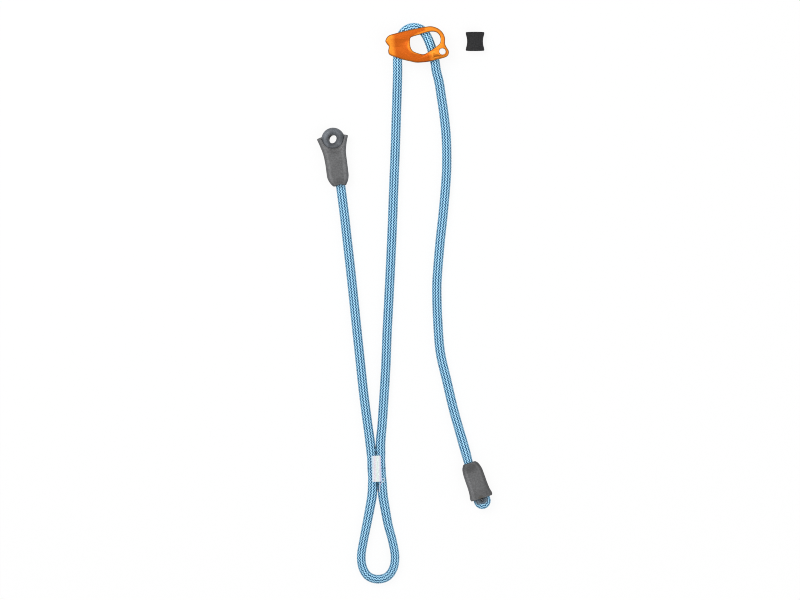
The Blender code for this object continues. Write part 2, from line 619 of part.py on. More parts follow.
def build_fixed_end(rope, thread, rubber, cover_material, parent):
    """Make the sewn eye, its moulded cover and the sleeve over the stitching."""
    live_leg, tail_leg = strand_pair(FIXED_END_CENTRE)
    neck = (EYE_DISTANCE - 8.7, SLEEVE_MIDDLE, STRAND_HALF_WIDTH - 0.9, STRAND_HALF_HEIGHT - 0.3)
    arch = []
    for degrees in EYE_ARCH_DEGREES:
        x, y = ahead((FIXED_END_CENTRE, EYE_DISTANCE), degrees - 90.0, EYE_MIDDLE_RADIUS)
        arch.append((x, y, SLEEVE_MIDDLE, EYE_ROPE_HALF_WIDTH, EYE_ROPE_HALF_HEIGHT))
    stations = [*live_leg, (FIXED_END_CENTRE + 6.0, *neck), *arch, (FIXED_END_CENTRE - 6.0, *neck), *tail_leg]
    link_mesh("rope_fixed_end_eye", rope_sweep(stations, END_STEP, 0.0), rope, parent)

    rings = []
    for index in range(40):
        turn = math.tau * index / 40
        half_width = (EYE_OUTER_RADIUS - EYE_HOLE_RADIUS) / 2
        section = oval_ring((EYE_MIDDLE_RADIUS, SLEEVE_MIDDLE), half_width, EYE_COVER_HALF_THICKNESS, 0.0,
                            EYE_COVER_SQUARENESS, 16)
        centre = (FIXED_END_CENTRE, EYE_DISTANCE)
        rings.append([(centre[0] + reach * math.cos(turn), centre[1] + reach * math.sin(turn), z)
                      for reach, _, z in section])
    cover = link_mesh("fixed_end_eye_cover", loft(rings, closed=True), cover_material, parent)
    cut(cover, link_mesh("eye_rope_channel", rope_sweep(stations, END_STEP, GAP), rope, parent))
    end_stitching("fixed_end_stitching", FIXED_END_CENTRE, thread, parent)

    shell = sleeve("fixed_end_sleeve", FIXED_SLEEVE_STATIONS, EYE_MOUTH_BULGE, rubber, parent)
    scoop_levels = [(SLEEVE_MIDDLE, 0.0), (2.0 * SLEEVE_HALF_THICKNESS + CUT_MARGIN, 0.0)]
    slot_levels = [(-CUT_MARGIN, 0.0), (SLEEVE_MIDDLE, 0.0)]
    scoop_centre = (FIXED_END_CENTRE, EYE_DISTANCE + EYE_SCOOP_SHIFT)
    scoop = slab(circle(scoop_centre, EYE_SCOOP_RADIUS, 48), scoop_levels)
    cut(shell, link_mesh("fixed_end_scoop", scoop, rubber, parent))
    past_mouth = (FIXED_END_CENTRE, EYE_DISTANCE + 2.0 * EYE_OUTER_RADIUS)
    slot = slab(capsule((FIXED_END_CENTRE, EYE_DISTANCE), past_mouth, EYE_SLOT_RADIUS), slot_levels)
    cut(shell, link_mesh("fixed_end_slot", slot, rubber, parent))


def build_free_end(rope, thread, rubber, parent):
    """Make the folded end of the rope, its stitching and its sleeve."""
    live_leg, tail_leg = strand_pair(FREE_END_CENTRE)
    fold_centre = (FREE_END_CENTRE, FOLD_TIP_DISTANCE - STRAND_OFFSET - FOLD_HALF_WIDTH)
    fold = []
    for degrees in FOLD_ARCH_DEGREES:
        x, y = ahead(fold_centre, degrees - 90.0, STRAND_OFFSET)
        fold.append((x, y, SLEEVE_MIDDLE, FOLD_HALF_WIDTH, FOLD_HALF_HEIGHT))
    link_mesh("rope_free_end_loop", rope_sweep([*live_leg, *fold, *tail_leg], END_STEP, 0.0), rope, parent)
    end_stitching("free_end_stitching", FREE_END_CENTRE, thread, parent)
    sleeve("free_end_sleeve", FREE_SLEEVE_STATIONS, 0.0, rubber, parent)


def build_keeper(material, parent):
    """Make the waisted rubber ring that holds a carabiner in the adjuster."""
    middle = KEEPER_RIM_THICKNESS / 2
    outer = []
    inner = []
    for index in range(KEEPER_ROW_COUNT):
        place = 2.0 * index / (KEEPER_ROW_COUNT - 1) - 1.0
        bow = min(1.0, (abs(place) / 0.86) ** 2.2)
        half_width = (KEEPER_WAIST_WIDTH + (KEEPER_RIM_WIDTH - KEEPER_WAIST_WIDTH) * bow) / 2
        half_height = (KEEPER_WAIST_THICKNESS + (KEEPER_RIM_THICKNESS - KEEPER_WAIST_THICKNESS) * bow) / 2
        level = place * KEEPER_LENGTH / 2
        outer.append(oval_ring((0.0, middle), half_width, half_height, level, 3.0))
        bore_level = place * (KEEPER_LENGTH / 2 + GAP)
        bore = (half_width - KEEPER_WALL, half_height - KEEPER_WALL)
        inner.append(oval_ring((0.0, middle), *bore, bore_level, 3.0))
    ring = link_mesh("carabiner_keeper", loft(outer), material, parent)
    cut(ring, link_mesh("keeper_bore", loft(inner), material, parent))


def main():
    """Build the whole lanyard."""
    clear_scene()
    rope = make_material("rope", (0.33, 0.60, 0.78), 0.8)
    thread = make_material("thread", (0.80, 0.84, 0.86), 0.7)
    metal = make_material("orange_anodised", (0.80, 0.20, 0.02), 0.35, 0.8)
    steel = make_material("rivet_steel", (0.5, 0.5, 0.5), 0.35, 1.0)
    rubber = make_material("sleeve_grey", (0.16, 0.16, 0.165), 0.6)
    cover_material = make_material("eye_cover_grey", (0.12, 0.13, 0.15), 0.55)
    black = make_material("keeper_black", (0.03, 0.03, 0.032), 0.6)

    build_rope_arms(rope, thread)
    build_adjuster(metal, steel, make_frame("adjuster_tilt_pivot", TILT_PIVOT, 0.0))
    fixed_end = make_frame("fixed_end_frame", FIXED_END_THROAT, FIXED_END_TURN)
    build_fixed_end(rope, thread, rubber, cover_material, fixed_end)
    free_end = make_frame("free_end_frame", FREE_END_THROAT, FREE_END_TURN)
    build_free_end(rope, thread, rubber, free_end)
    build_keeper(black, make_frame("keeper_frame", KEEPER_CENTRE, 0.0))


main()
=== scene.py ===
"""Adjustable twin lanyard seen from above: braided rope, thread, moulded sleeves and the orange adjuster.

Sizes are in millimetres unless a name says otherwise; MM turns them into the model's metres.
"""
import math

import bmesh
import bpy
import numpy as np
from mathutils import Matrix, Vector


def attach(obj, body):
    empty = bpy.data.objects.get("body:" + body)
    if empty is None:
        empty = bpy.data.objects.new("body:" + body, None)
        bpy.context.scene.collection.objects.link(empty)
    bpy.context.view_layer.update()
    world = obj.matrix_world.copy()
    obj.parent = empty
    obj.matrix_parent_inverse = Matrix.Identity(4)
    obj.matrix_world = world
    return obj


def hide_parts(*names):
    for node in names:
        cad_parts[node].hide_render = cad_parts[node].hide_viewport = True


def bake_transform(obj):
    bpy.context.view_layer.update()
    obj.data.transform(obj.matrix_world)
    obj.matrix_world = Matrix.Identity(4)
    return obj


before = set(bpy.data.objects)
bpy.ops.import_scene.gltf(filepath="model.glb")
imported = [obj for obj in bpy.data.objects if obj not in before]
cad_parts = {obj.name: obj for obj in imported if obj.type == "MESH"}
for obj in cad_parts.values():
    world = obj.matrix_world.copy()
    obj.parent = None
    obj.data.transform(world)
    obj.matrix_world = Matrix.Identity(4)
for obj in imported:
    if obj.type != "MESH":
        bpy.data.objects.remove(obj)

MM = 0.001

# Nothing lies lower than this
FLOOR_GAP = 0.02

# Rope: its radii, its heights in the adjuster and in the throats, and the places that others share with it
ROPE_RADIUS = 4.8
STITCHED_RADIUS = 4.6
CHANNEL_HEIGHT = 9.0
THROAT_HEIGHT = 6.4
FIXED_THROAT = (-64.2, 79.0)
FREE_THROAT = (63.8, -198.0)
LOOP_LEFT = -33.05
LOOP_RIGHT = -23.85
STITCH_Y = -202.6
BEND_CENTRE = (9.0, 224.5)
BEND_RADIUS = 13.7

# Half width of the rope by its distance from the middle of the loop's stitching: above it, and below
STITCH_REACH = (9.0, 16.0, 26.0, 40.0, 70.0)
ARM_WIDTHS = (STITCHED_RADIUS, 4.95, 4.95, ROPE_RADIUS, ROPE_RADIUS)
LOOP_WIDTHS = (STITCHED_RADIUS, 4.95, 4.95, 4.78, 4.42)

# Rope route: across, up the page, and off the floor also the share of the rise to the height at its end
FIXED_ARM = [
    (-65.016, 85.197, 1.0), (*FIXED_THROAT, 1.0), (-62.1, 63.0, 1.0), (-60.1, 47.0, 0.9),
    (-57.8, 26.0, 0.3), (-54.6, -2.0), (-51.2, -34.0), (-47.9, -66.0), (-44.7, -96.0), (-41.5, -126.0),
    (-37.9, -154.0), (-34.9, -176.0), (LOOP_LEFT - 0.4, -190.0),
]
LOOP = [
    (LOOP_LEFT, STITCH_Y), (LOOP_LEFT + 0.7, -214.0), (-32.75, -228.0), (-35.1, -242.0),
    (-38.15, -258.0), (-41.5, -275.0), (-43.75, -290.0), (-42.1, -302.0), (-36.4, -310.3),
    (-27.0, -313.1), (-17.6, -310.4), (-11.6, -302.0), (-10.0, -290.0), (-12.55, -275.0),
    (-16.75, -259.0), (-19.95, -242.0), (-22.2, -228.0), (LOOP_RIGHT + 0.75, -214.0),
]
ADJUSTABLE_ARM = [
    (LOOP_RIGHT, STITCH_Y), (LOOP_RIGHT - 0.5, -190.0), (-24.4, -176.0), (-22.8, -158.0),
    (-20.9, -129.0), (-19.1, -99.0), (-18.0, -69.0), (-16.2, -34.0), (-14.3, 4.0), (-12.6, 42.0),
    (-11.2, 80.0), (-9.7, 118.0), (-8.6, 152.0), (-8.0, 171.0, 0.1), (-7.6, 184.0, 0.5),
    (-7.4, 196.0, 0.95), (-7.5, 205.0, 1.0),
]
BEND = [(-7.04, 212.17, 1.0), (-6.6, 218.5, 1.0)]
BEND += [
    (BEND_CENTRE[0] + BEND_RADIUS * math.cos(math.radians(turn)),
     BEND_CENTRE[1] + BEND_RADIUS * math.sin(math.radians(turn)), 1.0)
    for turn in range(172, 0, -25)
]
BEND += [(24.6, 223.2, 1.0), (26.7, 217.0, 1.0)]
FREE_ARM_TOP = [
    (28.25, 211.17, 1.0), (30.0, 204.0, 1.0), (31.3, 195.0, 0.95), (34.2, 183.0, 0.5),
    (36.2, 170.0, 0.1), (38.6, 154.0), (41.0, 132.0), (41.7, 112.0), (41.3, 90.0), (38.5, 56.0),
]
FREE_ARM_FOOT = [
    (34.9, 22.0), (32.3, -10.0), (31.8, -28.0), (32.8, -56.0), (35.3, -86.0), (41.6, -114.0),
    (48.9, -145.0, 0.25), (57.3, -174.5, 0.9), (61.5, -189.5, 1.0), (*FREE_THROAT, 1.0),
    (65.731, -203.944, 1.0),
]

# Nodes that the rope's stretches stand for, in their order along it
STRETCHES = ("rope_fixed_arm", "rope_tie_in_loop", "rope_adjustable_arm", "rope_bend", "rope_free_arm")

# Braid: strands each way, the length between two crossings of a column, and its relief
STRANDS = 20
CROSSING = 1.45
ROW = CROSSING / 4
RELIEF = 0.26

# Share of the relief at a strand's middle, on its crest, where it starts to dip and at its low edge
SWELL = (0.85, 1.0, 0.4, 0.2)

# Flat map of a braid's end faces: their radius, the rows that they lie past the braid, the room for both
CAP_RADIUS = 12.0
CAP_ROWS = (16, 44)
CAP_ROOM = 60

# Painted light and shade on the rope: a painted pool of light by the adjuster, painted shade where the
# strands press together beside the loop's stitching and at both throats, and a painted shadow in the free
# end's fold: centre, radius, factor or colour
YARN_PAINTED_LIGHT_AND_SHADE = [
    ((9.0, 222.0, 9.0), 17.0, 1.22), ((-29.4, -181.2, 7.5), 1.2, 0.5), ((-28.8, -186.5, 7.5), 1.4, 0.5),
    ((-27.7, -219.0, 7.5), 1.5, 0.5), ((-27.6, -223.6, 7.5), 1.2, 0.55), ((-64.4, 80.0, 11.2), 1.5, 0.6),
    ((64.2, -198.0, 11.2), 1.3, 0.6), ((73.7, -234.3, 11.2), 2.8, (0.078, 0.088, 0.1)),
    ((78.4, -233.2, 11.2), 3.0, (0.078, 0.088, 0.1)),
]

# Strands and the eye inside the sleeves, by their distance ahead of the throat
SLEEVE_MIDDLE = 7.0
STRAND = (4.1, 4.7)
STRAND_OFFSET = 4.65
STRAIGHT_START = 20.0
STRAIGHT_END = 33.5
FIXED_TURN = 7.5
FIXED_CENTRE = -1.4
FREE_TURN = 198.0
FREE_CENTRE = -1.5
FIXED_PLACE = (FIXED_THROAT, FIXED_TURN)
FREE_PLACE = (FREE_THROAT, FREE_TURN)
EYE_DISTANCE = 48.2
EYE_HOLE = 4.2
EYE_RADIUS = 11.7
EYE_MIDDLE = (EYE_HOLE + EYE_RADIUS) / 2
EYE_STRAND = (2.45, 4.2)
FOLD_CENTRE = 38.85
FOLD_RADIUS = 4.25
FOLD_HALF_HEIGHT = 4.6

# Eye cover, and the bead round its hole: height, distance from the hole, width
COVER_HALF_HEIGHT = 5.4
COVER_BEAD = (0.22, 1.1, 0.45)

# Lean of the eye cover's hole: below and above on the side that it leans to, above on the other side
EYE_LEAN = (1.4, 0.8, 1.6)
EYE_LEAN_SIDE = 142.0

# Sleeves: distance from the throat, sideways centre, half width, half thickness
SLEEVE_WALL = 1.1
SLEEVE_LIP = 0.4
SLEEVE_SQUARENESS = 3.4
FIXED_SLEEVE = [
    (1.2, -0.75, 6.4, 6.2), (3.1, -1.1, 7.8, 6.6), (5.9, -1.2, 9.4, 6.9), (10.4, -1.4, 10.75, 7.0),
    (16.0, -1.4, 10.95, 7.0), (24.0, -1.4, 11.0, 7.0), (34.0, -1.7, 11.45, 7.0), (42.0, -1.9, 13.2, 7.0),
    (47.5, -1.85, 14.85, 7.0), (49.8, -1.8, 15.65, 7.0), (50.5, -1.8, 15.3, 7.0),
]
FIXED_BULGE = 3.0
FREE_SLEEVE = [
    (-1.0, -0.75, 6.3, 6.2), (0.9, -1.05, 7.75, 6.6), (3.3, -1.05, 9.0, 6.9), (8.0, -1.3, 9.95, 7.0),
    (14.0, -1.4, 10.2, 7.0), (22.0, -1.6, 10.2, 7.0), (29.0, -1.7, 10.6, 7.0), (33.4, -1.8, 11.5, 7.0),
    (35.2, -1.8, 11.4, 7.0), (36.4, -1.8, 10.7, 6.7),
]
SCOOP = (FIXED_CENTRE, EYE_DISTANCE + 2.8, EYE_RADIUS + 0.4)
SCOOP_DEPTH = 0.9

# Lengths over which a sleeve takes on the form of its scoop, of its mouth and of its throat's arch
SCOOP_REACH = 4.0
MOUTH_REACH = 16.0
ARCH_REACH = 5.0

# Throats: how far the hole lies sideways, its radius, and how far the arch over it reaches
FIXED_HOLE = (-0.3, 5.3, 1.5)
FREE_HOLE = (-0.55, 5.5, 0.3)

# Painted light and shade of the sleeves and the eye cover: by how level the surface lies (painted highlights
# on rounded edges, painted shade on steep sides), painted shade past a straight edge down the free sleeve's
# side, and round places: painted shade at the throats, at the free sleeve's mouth, in the valley below the
# eye, inside its hole and on the cover's right side, and a painted highlight on its upper left. The cover's
# places lie sideways and ahead of the eye's middle, and the first shades the sleeve too.
SLEEVE_PAINTED_EDGE_LIGHT = ((0.35, 0.95), (0.8, 1.1), (0.92, 1.45), (0.97, 1.4), (0.99, 1.0))
COVER_PAINTED_EDGE_SHADE = ((0.4, 0.88), (0.85, 1.0))
FREE_SIDE_PAINTED_SHADE = (-0.951, -0.309, -8.5, -5.7, 0.6)
SLEEVE_PAINTED_SHADE = [
    ((*FIXED_THROAT, 13.0), 6.0, 0.72), ((*FREE_THROAT, 13.0), 6.0, 0.58), ((75.7, -231.4, 13.0), 5.0, 0.84),
    ((76.2, -232.4, 13.6), 1.9, (0.075, 0.068, 0.058)),
]
COVER_PAINTED_LIGHT_AND_SHADE = [
    (-0.4, -8.7, 13.5, 4.0, 0.62), (-3.0, 3.4, 6.0, 2.0, 0.03), (10.0, -1.0, 10.0, 3.6, 0.66),
    (-6.5, 6.5, 11.0, 3.0, 1.3),
]

# Stitching: length and width, and how far the middle of the ends' stitching lies ahead of the throat
STITCH_X = -28.45
STITCH_TURN = 2.0
LOOP_STITCHES = (26.0, 9.4)
END_STITCHES = (13.0, 9.0)
END_STITCH_MIDDLE = 27.0
RIB = 0.62
LOOSE_THREAD = [
    (-22.4, -212.2, 9.9), (-20.7, -213.2, 9.5), (-21.6, -215.4, 9.75), (-23.9, -216.9, 9.8),
    (-25.0, -219.4, 9.2), (-25.2, -222.4, 9.0), (-25.5, -225.6, 8.8),
]
LOOSE_THREAD_RADIUS = 0.42

# Thread: where its columns start and end across the page, and their colours; the darker violet column by the
# right edge is painted shade on the stitching's edge
THREAD_SPAN = (-33.4, -23.0)
THREAD_COLUMNS = (
    (0.0, (0.60, 0.76, 0.88)), (0.16, (0.80, 0.90, 0.97)), (0.3, (0.88, 0.78, 0.84)),
    (0.42, (0.88, 0.91, 0.93)), (0.58, (0.82, 0.94, 0.89)), (0.72, (0.90, 0.94, 0.97)),
    (0.84, (0.68, 0.64, 0.84)), (1.0, (0.76, 0.88, 0.97)),
)

# Adjuster, about the point that it tilts on
PLATE = 3.9
CHANNEL = 10.2
OUTLINE = [
    (-28.6, 0.7), (-25.4, 5.6), (-17.9, 8.1), (-8.9, 10.4), (2.3, 12.8), (10.3, 14.3), (17.4, 15.0),
    (23.9, 12.9), (28.7, 8.6), (30.9, 3.4), (31.0, -2.3), (32.6, -6.0), (34.7, -9.7), (34.3, -13.4),
    (31.4, -15.8), (24.6, -17.8), (15.6, -20.1), (3.6, -21.2), (-4.0, -19.9), (-11.1, -18.2),
    (-18.8, -15.8), (-24.5, -13.3), (-25.8, -9.8), (-25.2, -5.2), (-27.3, -2.3),
]
OPENING = [
    (-4.0, 0.6), (-3.4, 3.6), (-0.4, 5.1), (5.8, 6.9), (11.2, 8.6), (17.4, 9.8), (22.3, 9.1), (25.5, 6.0),
    (26.6, 1.8), (25.6, -2.3), (21.9, -5.6), (15.6, -9.9), (10.4, -12.8), (6.4, -12.6), (0.0, -10.4),
    (-2.7, -7.6), (-3.8, -3.9),
]
LUG_GROOVE = [
    (19.8, -15.9), (23.0, -15.2), (26.0, -14.8), (28.6, -14.6), (30.9, -13.9), (32.4, -12.4), (33.0, -10.6),
]
LUG_BAR = ((21.0, -12.9), (28.4, -10.6), 4.5)
LUG_RISE = 0.7
PAD_LEVELS = ((-1.9, -0.3), (-0.05, 0.0), (0.45, -0.6), (LUG_RISE, -1.4))
PANEL_LEVELS = ((-0.14, -0.45), (0.06, 0.2), (1.0, 0.2))
RELEASE_HOLE = (28.4, -10.1)
RELEASE_RADIUS = 3.2
SADDLE_RADIUS = 8.6
PANEL = [
    (-20.9, 0.2), (-19.8, 1.2), (-14.0, 1.7), (-8.2, 1.9), (-7.0, 0.9), (-6.7, -2.0), (-6.9, -5.0),
    (-8.0, -6.0), (-14.0, -6.4), (-19.4, -6.6), (-20.6, -5.6), (-20.9, -2.6),
]
BARS = {"nose": ((-24.4, 2.4), (-23.9, -2.4), 2.0), "heel": ((28.6, 4.4), (28.4, -1.6), 1.6)}
RIVETS = {"bollard": (-6.5, 0.8), "nose": (-24.15, 0.0), "heel": (28.5, 1.4)}
RIVET_RADIUS = 1.5
RIVET_LEVELS = [(0.1, -0.9), (0.1, -0.35), (0.18, -0.12), (0.32, 0.0), (0.7, 0.0), (0.7, -0.7), (15.7, -0.7)]

# Deep orange field of the cheeks, with a lighter orange painted as a highlight on the rims outside it:
# heading, reach and width of its four edges, and the oval round the opening
FIELD_EDGES = [
    (-0.99, -0.1, 22.6, 5.0), (-0.19, 0.98, 12.0, 1.6), (-0.24, -0.97, 20.2, 1.4), (0.98, 0.2, 15.0, 4.0),
]
OPENING_OVAL = ((10.8, -1.1), (16.0, 10.3), 16.9)
OVAL_EDGE = (1.04, 1.17)
# Painted shade on the cheeks' steep edges: pairs of levelness and factor
CHEEK_PAINTED_EDGE_SHADE = ((0.55, 0.34), (0.93, 1.0))

# Keeper ring: its waist and how much its ends are larger, each as width and height
KEEPER_CENTRE = (70.0, 224.5)
KEEPER_MIDDLE = 5.3
KEEPER_LENGTH = 18.7
KEEPER_WAIST = (15.9, 9.0)
KEEPER_GROWTH = (2.7, 1.6)
KEEPER_BEAD = 2.2
KEEPER_CROWN = 0.25
KEEPER_WALL = 1.7
KEEPER_LIP = 0.8
# Painted highlight on the keeper's steep sides: pairs of levelness and factor
KEEPER_PAINTED_EDGE_LIGHT = ((0.3, 1.3), (0.7, 1.5), (0.95, 1.0))

# Colours, each as its darkest and its lightest shade
BLUE_YARN = ((0.001, 0.058, 0.14), (0.003, 0.105, 0.22))
PALE_YARN = ((0.28, 0.61, 0.88), (0.46, 0.77, 0.95))
SLEEVE_GREYS = ((0.104, 0.105, 0.108), (0.146, 0.147, 0.151))
COVER_GREYS = ((0.11, 0.121, 0.137), (0.152, 0.167, 0.187))
KEEPER_BLACKS = ((0.015, 0.015, 0.016), (0.027, 0.027, 0.029))
DEEP_ORANGES = ((0.50, 0.088, 0.003), (0.60, 0.118, 0.005))
# Lighter orange painted on the cheeks' rims as a highlight
RIM_HIGHLIGHT_ORANGE = (0.86, 0.255, 0.02)
STEEL_GREYS = ((0.42, 0.42, 0.43), (0.56, 0.56, 0.57))

# Stage: the floor, the sky, the camera, and the lamps by name, place in metres, size and power
WHITE = (1.0, 1.0, 1.0, 1.0)
FLOOR_HALF = 3000.0
FLOOR_GLOW = 0.9
SKY_LIGHT = 0.55
PHOTO_CENTRE = (-5.0, -34.0)
PHOTO_WIDTH = 800.0
LENS = 800.0
SENSOR_WIDTH = 36.0
LAMPS = (("key_lamp", (-0.9, 0.8, 1.9), 1.4, 26.0), ("fill_lamp", (1.1, -0.5, 1.7), 1.6, 12.0))


def raised(route, height):
    """Give a route its heights: a third value is the share of the rise from the floor to a height."""
    return [(x, y, ROPE_RADIUS + sum(share) * (height - ROPE_RADIUS)) for x, y, *share in route]


def joined(*values):
    """Join the coordinates of points, or the corners of faces."""
    return np.stack(np.broadcast_arrays(*values), axis=-1)


def smooth_rows(rows, step, closed=False, lowest=None):
    """Return a finer table: a smooth curve through rows, spaced by a step in their first two columns.

    With a lowest height, the rows are points, kept above it and spaced by their true distance.
    """
    knots = np.array(rows, float)
    if closed:
        padded = np.vstack([knots[-1:], knots, knots[:2]])
    else:
        padded = np.vstack([2.0 * knots[0] - knots[1], knots, 2.0 * knots[-1] - knots[-2]])
    share = (np.arange(24) / 24.0)[:, None]
    fine = []
    for before, start, end, after in zip(padded, padded[1:], padded[2:], padded[3:]):
        square = 2.0 * before - 5.0 * start + 4.0 * end - after
        cube = 3.0 * (start - end) - before + after
        fine.append(0.5 * (2.0 * start + (end - before) * share + square * share ** 2 + cube * share ** 3))
    fine = np.vstack([*fine, padded[-2:-1]])
    spaced = fine[:, :2]
    if lowest is not None:
        fine[:, 2] = np.maximum(fine[:, 2], lowest)
        spaced = fine
    place = np.concatenate([[0.0], np.cumsum(np.linalg.norm(np.diff(spaced, axis=0), axis=1))])
    wanted = np.linspace(0.0, place[-1], max(2, round(place[-1] / step)) + 1)
    table = np.column_stack([np.interp(wanted, place, column) for column in fine.T])
    return table[:-1] if closed else table


def unit(vectors):
    """Return vectors at a length of 1."""
    return vectors / np.linalg.norm(vectors, axis=1)[:, None]


def tube(line, half_width, half_height, turn):
    """Return the points round a line, by its half widths and half heights there and their turns."""
    along = unit(np.gradient(line, axis=0))
    across = unit(np.cross(along, (0.0, 0.0, 1.0)))
    rise = np.cross(across, along)
    aside, up = (half_width * np.cos(turn))[..., None], (half_height * np.sin(turn))[..., None]
    return line[:, None] + across[:, None] * aside + rise[:, None] * up


def circled(centre, radius, turn):
    """Return the points of a circle at some turns, or at one turn for some radii."""
    return joined(centre[0] + radius * np.cos(turn), centre[1] + radius * np.sin(turn))


def add(name, data):
    """Put a mesh, a lamp or a camera in the scene as an object."""
    thing = bpy.data.objects.new(name, data)
    bpy.context.scene.collection.objects.link(thing)
    return thing


def surface(name, points, faces, materials):
    """Put a smooth mesh in the scene as an object with its materials; return the object and the mesh."""
    mesh = bpy.data.meshes.new(name)
    mesh.from_pydata((points.reshape(-1, 3) * MM).tolist(), [], faces)
    mesh.shade_smooth()
    for material in materials:
        mesh.materials.append(material)
    return add(name, mesh), mesh


def cw_on_top(i, j):
    """Tell whether the clockwise strand i lies over the anticlockwise strand j, two over and two under."""
    return (j - i) % 4 < 2


def braid(name, line, half_width, half_height, first_row, materials):
    """Make a stretch of braided rope: a skin whose vertices lie on the lattice of its crossing strands.

    A vertex is named by m and n, which count half strands of the clockwise and the anticlockwise set, so
    that m + n runs round the rope and n - m runs along it.
    """
    rows = len(line)
    around = 2 * STRANDS
    row, column = np.meshgrid(np.arange(rows), np.arange(around), indexing="ij")
    lattice_row = row + first_row
    total = 2 * column + lattice_row % 2
    n = (total + lattice_row) // 2
    m = (total - lattice_row) // 2
    i, j = m // 2, n // 2
    here = cw_on_top(i, j)
    middle = (m % 2 == 1) & (n % 2 == 1)
    on_cw = (m % 2 == 1) & (n % 2 == 0)
    on_ccw = (m % 2 == 0) & (n % 2 == 1)
    behind = np.where(on_cw, cw_on_top(i, j - 1), cw_on_top(i - 1, j))
    crest = (on_cw & here & behind) | (on_ccw & ~here & ~behind)
    dipping = (on_cw | on_ccw) & (here != behind)
    height = np.select([middle, crest, dipping, on_cw | on_ccw], SWELL, 0.0)
    turn = math.pi / around * total
    depth = RELIEF * (1.0 - height)
    points = tube(line, half_width[:, None] - depth, half_height[:, None] - depth, turn)
    points[..., 2] = np.maximum(points[..., 2], FLOOR_GAP)

    number = row * around + column
    odd = lattice_row % 2
    right = row * around + (column + 1) % around
    beside = (column + odd) % around
    below, above = (row * around + beside + step for step in (-around, around))
    quad_row = slice(1, rows - 1)
    quads = joined(*(corner[quad_row] for corner in (number, below, right, above))).reshape(-1, 4)
    start = joined(number[0], right[0], above[0])
    end = joined(number[-1], below[-1], right[-1])
    faces = [*quads.tolist(), *start.tolist(), *end.tolist(), number[0][::-1].tolist(), number[-1].tolist()]
    rope, mesh = surface(name, points, faces, materials)

    quad_cw = here[quad_row]
    strand = np.where(quad_cw, i[quad_row], j[quad_row])
    light = (1 - strand % 2).reshape(-1)
    slots = np.zeros(len(mesh.polygons), np.int32)
    slots[:len(light)] = light
    mesh.polygons.foreach_set("material_index", slots)

    m_corner = m[quad_row][..., None] + np.array([0, 1, 1, 0])
    n_corner = n[quad_row][..., None] + np.array([0, 0, 1, 1])
    cw = quad_cw[..., None]
    over = np.where(cw, m_corner, n_corner) / 2 + 2.0 * strand[..., None]
    run = np.where(cw, n_corner, m_corner) / 2
    corners = np.zeros((len(mesh.loops), 2), np.float32)
    corners[:run.size] = joined(over, run).reshape(-1, 2)
    mesh.uv_layers.new(name="Yarn").data.foreach_set("uv", corners.reshape(-1))
    groups = [
        (row[quad_row], n_corner - m_corner - first_row, m_corner + n_corner),
        (row[0], np.array([0, 0, 1]), total[0][:, None] + np.array([0, 2, 1])),
        (row[-2], rows - 1 - np.array([0, 1, 0]), total[-1][:, None] + np.array([0, 1, 2])),
    ]
    for past, cap in zip(CAP_ROWS, (turn[0][::-1], turn[-1])):
        along, aside = circled((rows + past, around), CAP_RADIUS, cap).T
        groups.append(([rows + past], along, aside))
    strip_map(mesh, rows, groups)
    return rope


def strip_map(mesh, rows, groups):
    """Unroll a braid into strips of one flat map: faces by their row, and their corners' rows and turns."""
    pad, width, length = 2, 4 * STRANDS + 1, rows + CAP_ROOM
    strips = max(1, round(math.sqrt(length / width)))
    reach = length / strips
    places = []
    for home, along, turn in groups:
        strip = np.minimum(np.floor(np.asarray(home, float)[..., None] / reach), strips - 1)
        u = (along - strip * reach + pad) / (reach + 2 * pad)
        v = (strip + (turn + pad) / (width + 2 * pad)) / strips
        places.append(joined(u, v).reshape(-1, 2))
    layer = mesh.uv_layers.new(name="OFBake", do_init=False)
    layer.data.foreach_set("uv", np.vstack(places).astype(np.float32).reshape(-1))


def placed(points, place, turn):
    """Turn points about +Z by degrees and move them to a place, above the floor."""
    angle = math.radians(turn)
    cos, sin = math.cos(angle), math.sin(angle)
    x, y, z = np.moveaxis(np.asarray(points, float), -1, 0)
    return joined(place[0] + x * cos - y * sin, place[1] + x * sin + y * cos, np.maximum(z, FLOOR_GAP))


def skin(name, rings, material, closed=False):
    """Join rings of equal count into a smooth mesh."""
    rings = np.asarray(rings, float)
    rows, around = rings.shape[:2]
    number = np.arange(rows * around).reshape(rows, around)
    upper = np.roll(number, -1, axis=0)
    if not closed:
        number, upper = number[:-1], upper[:-1]
    beside, above = np.roll(number, -1, axis=1), np.roll(upper, -1, axis=1)
    faces = joined(number, beside, above, upper).reshape(-1, 4).tolist()
    if not closed:
        faces += [number[0][::-1].tolist(), upper[-1].tolist()]
    thing, mesh = surface(name, rings, faces, [material])
    data = bmesh.new()
    data.from_mesh(mesh)
    bmesh.ops.recalc_face_normals(data, faces=data.faces)
    data.to_mesh(mesh)
    data.free()
    mesh.set_sharp_from_angle(angle=math.radians(50.0))
    return thing


def carve(thing, cutters):
    """Cut an object with others for good and remove them."""
    for cutter, operation in cutters:
        change = thing.modifiers.new(cutter.name, "BOOLEAN")
        change.operation = operation
        change.solver = "EXACT"
        change.object = cutter
    bpy.context.view_layer.update()
    state = thing.evaluated_get(bpy.context.evaluated_depsgraph_get())
    thing.data = bpy.data.meshes.new_from_object(state)
    thing.modifiers.clear()
    for cutter, _ in cutters:
        bpy.data.objects.remove(cutter, do_unlink=True)
    return thing


def offset_outline(outline, distance):
    """Move an anticlockwise outline outwards along its corner normals."""
    along = unit(np.roll(outline, -1, axis=0) - np.roll(outline, 1, axis=0))
    return outline + joined(along[:, 1], -along[:, 0]) * distance


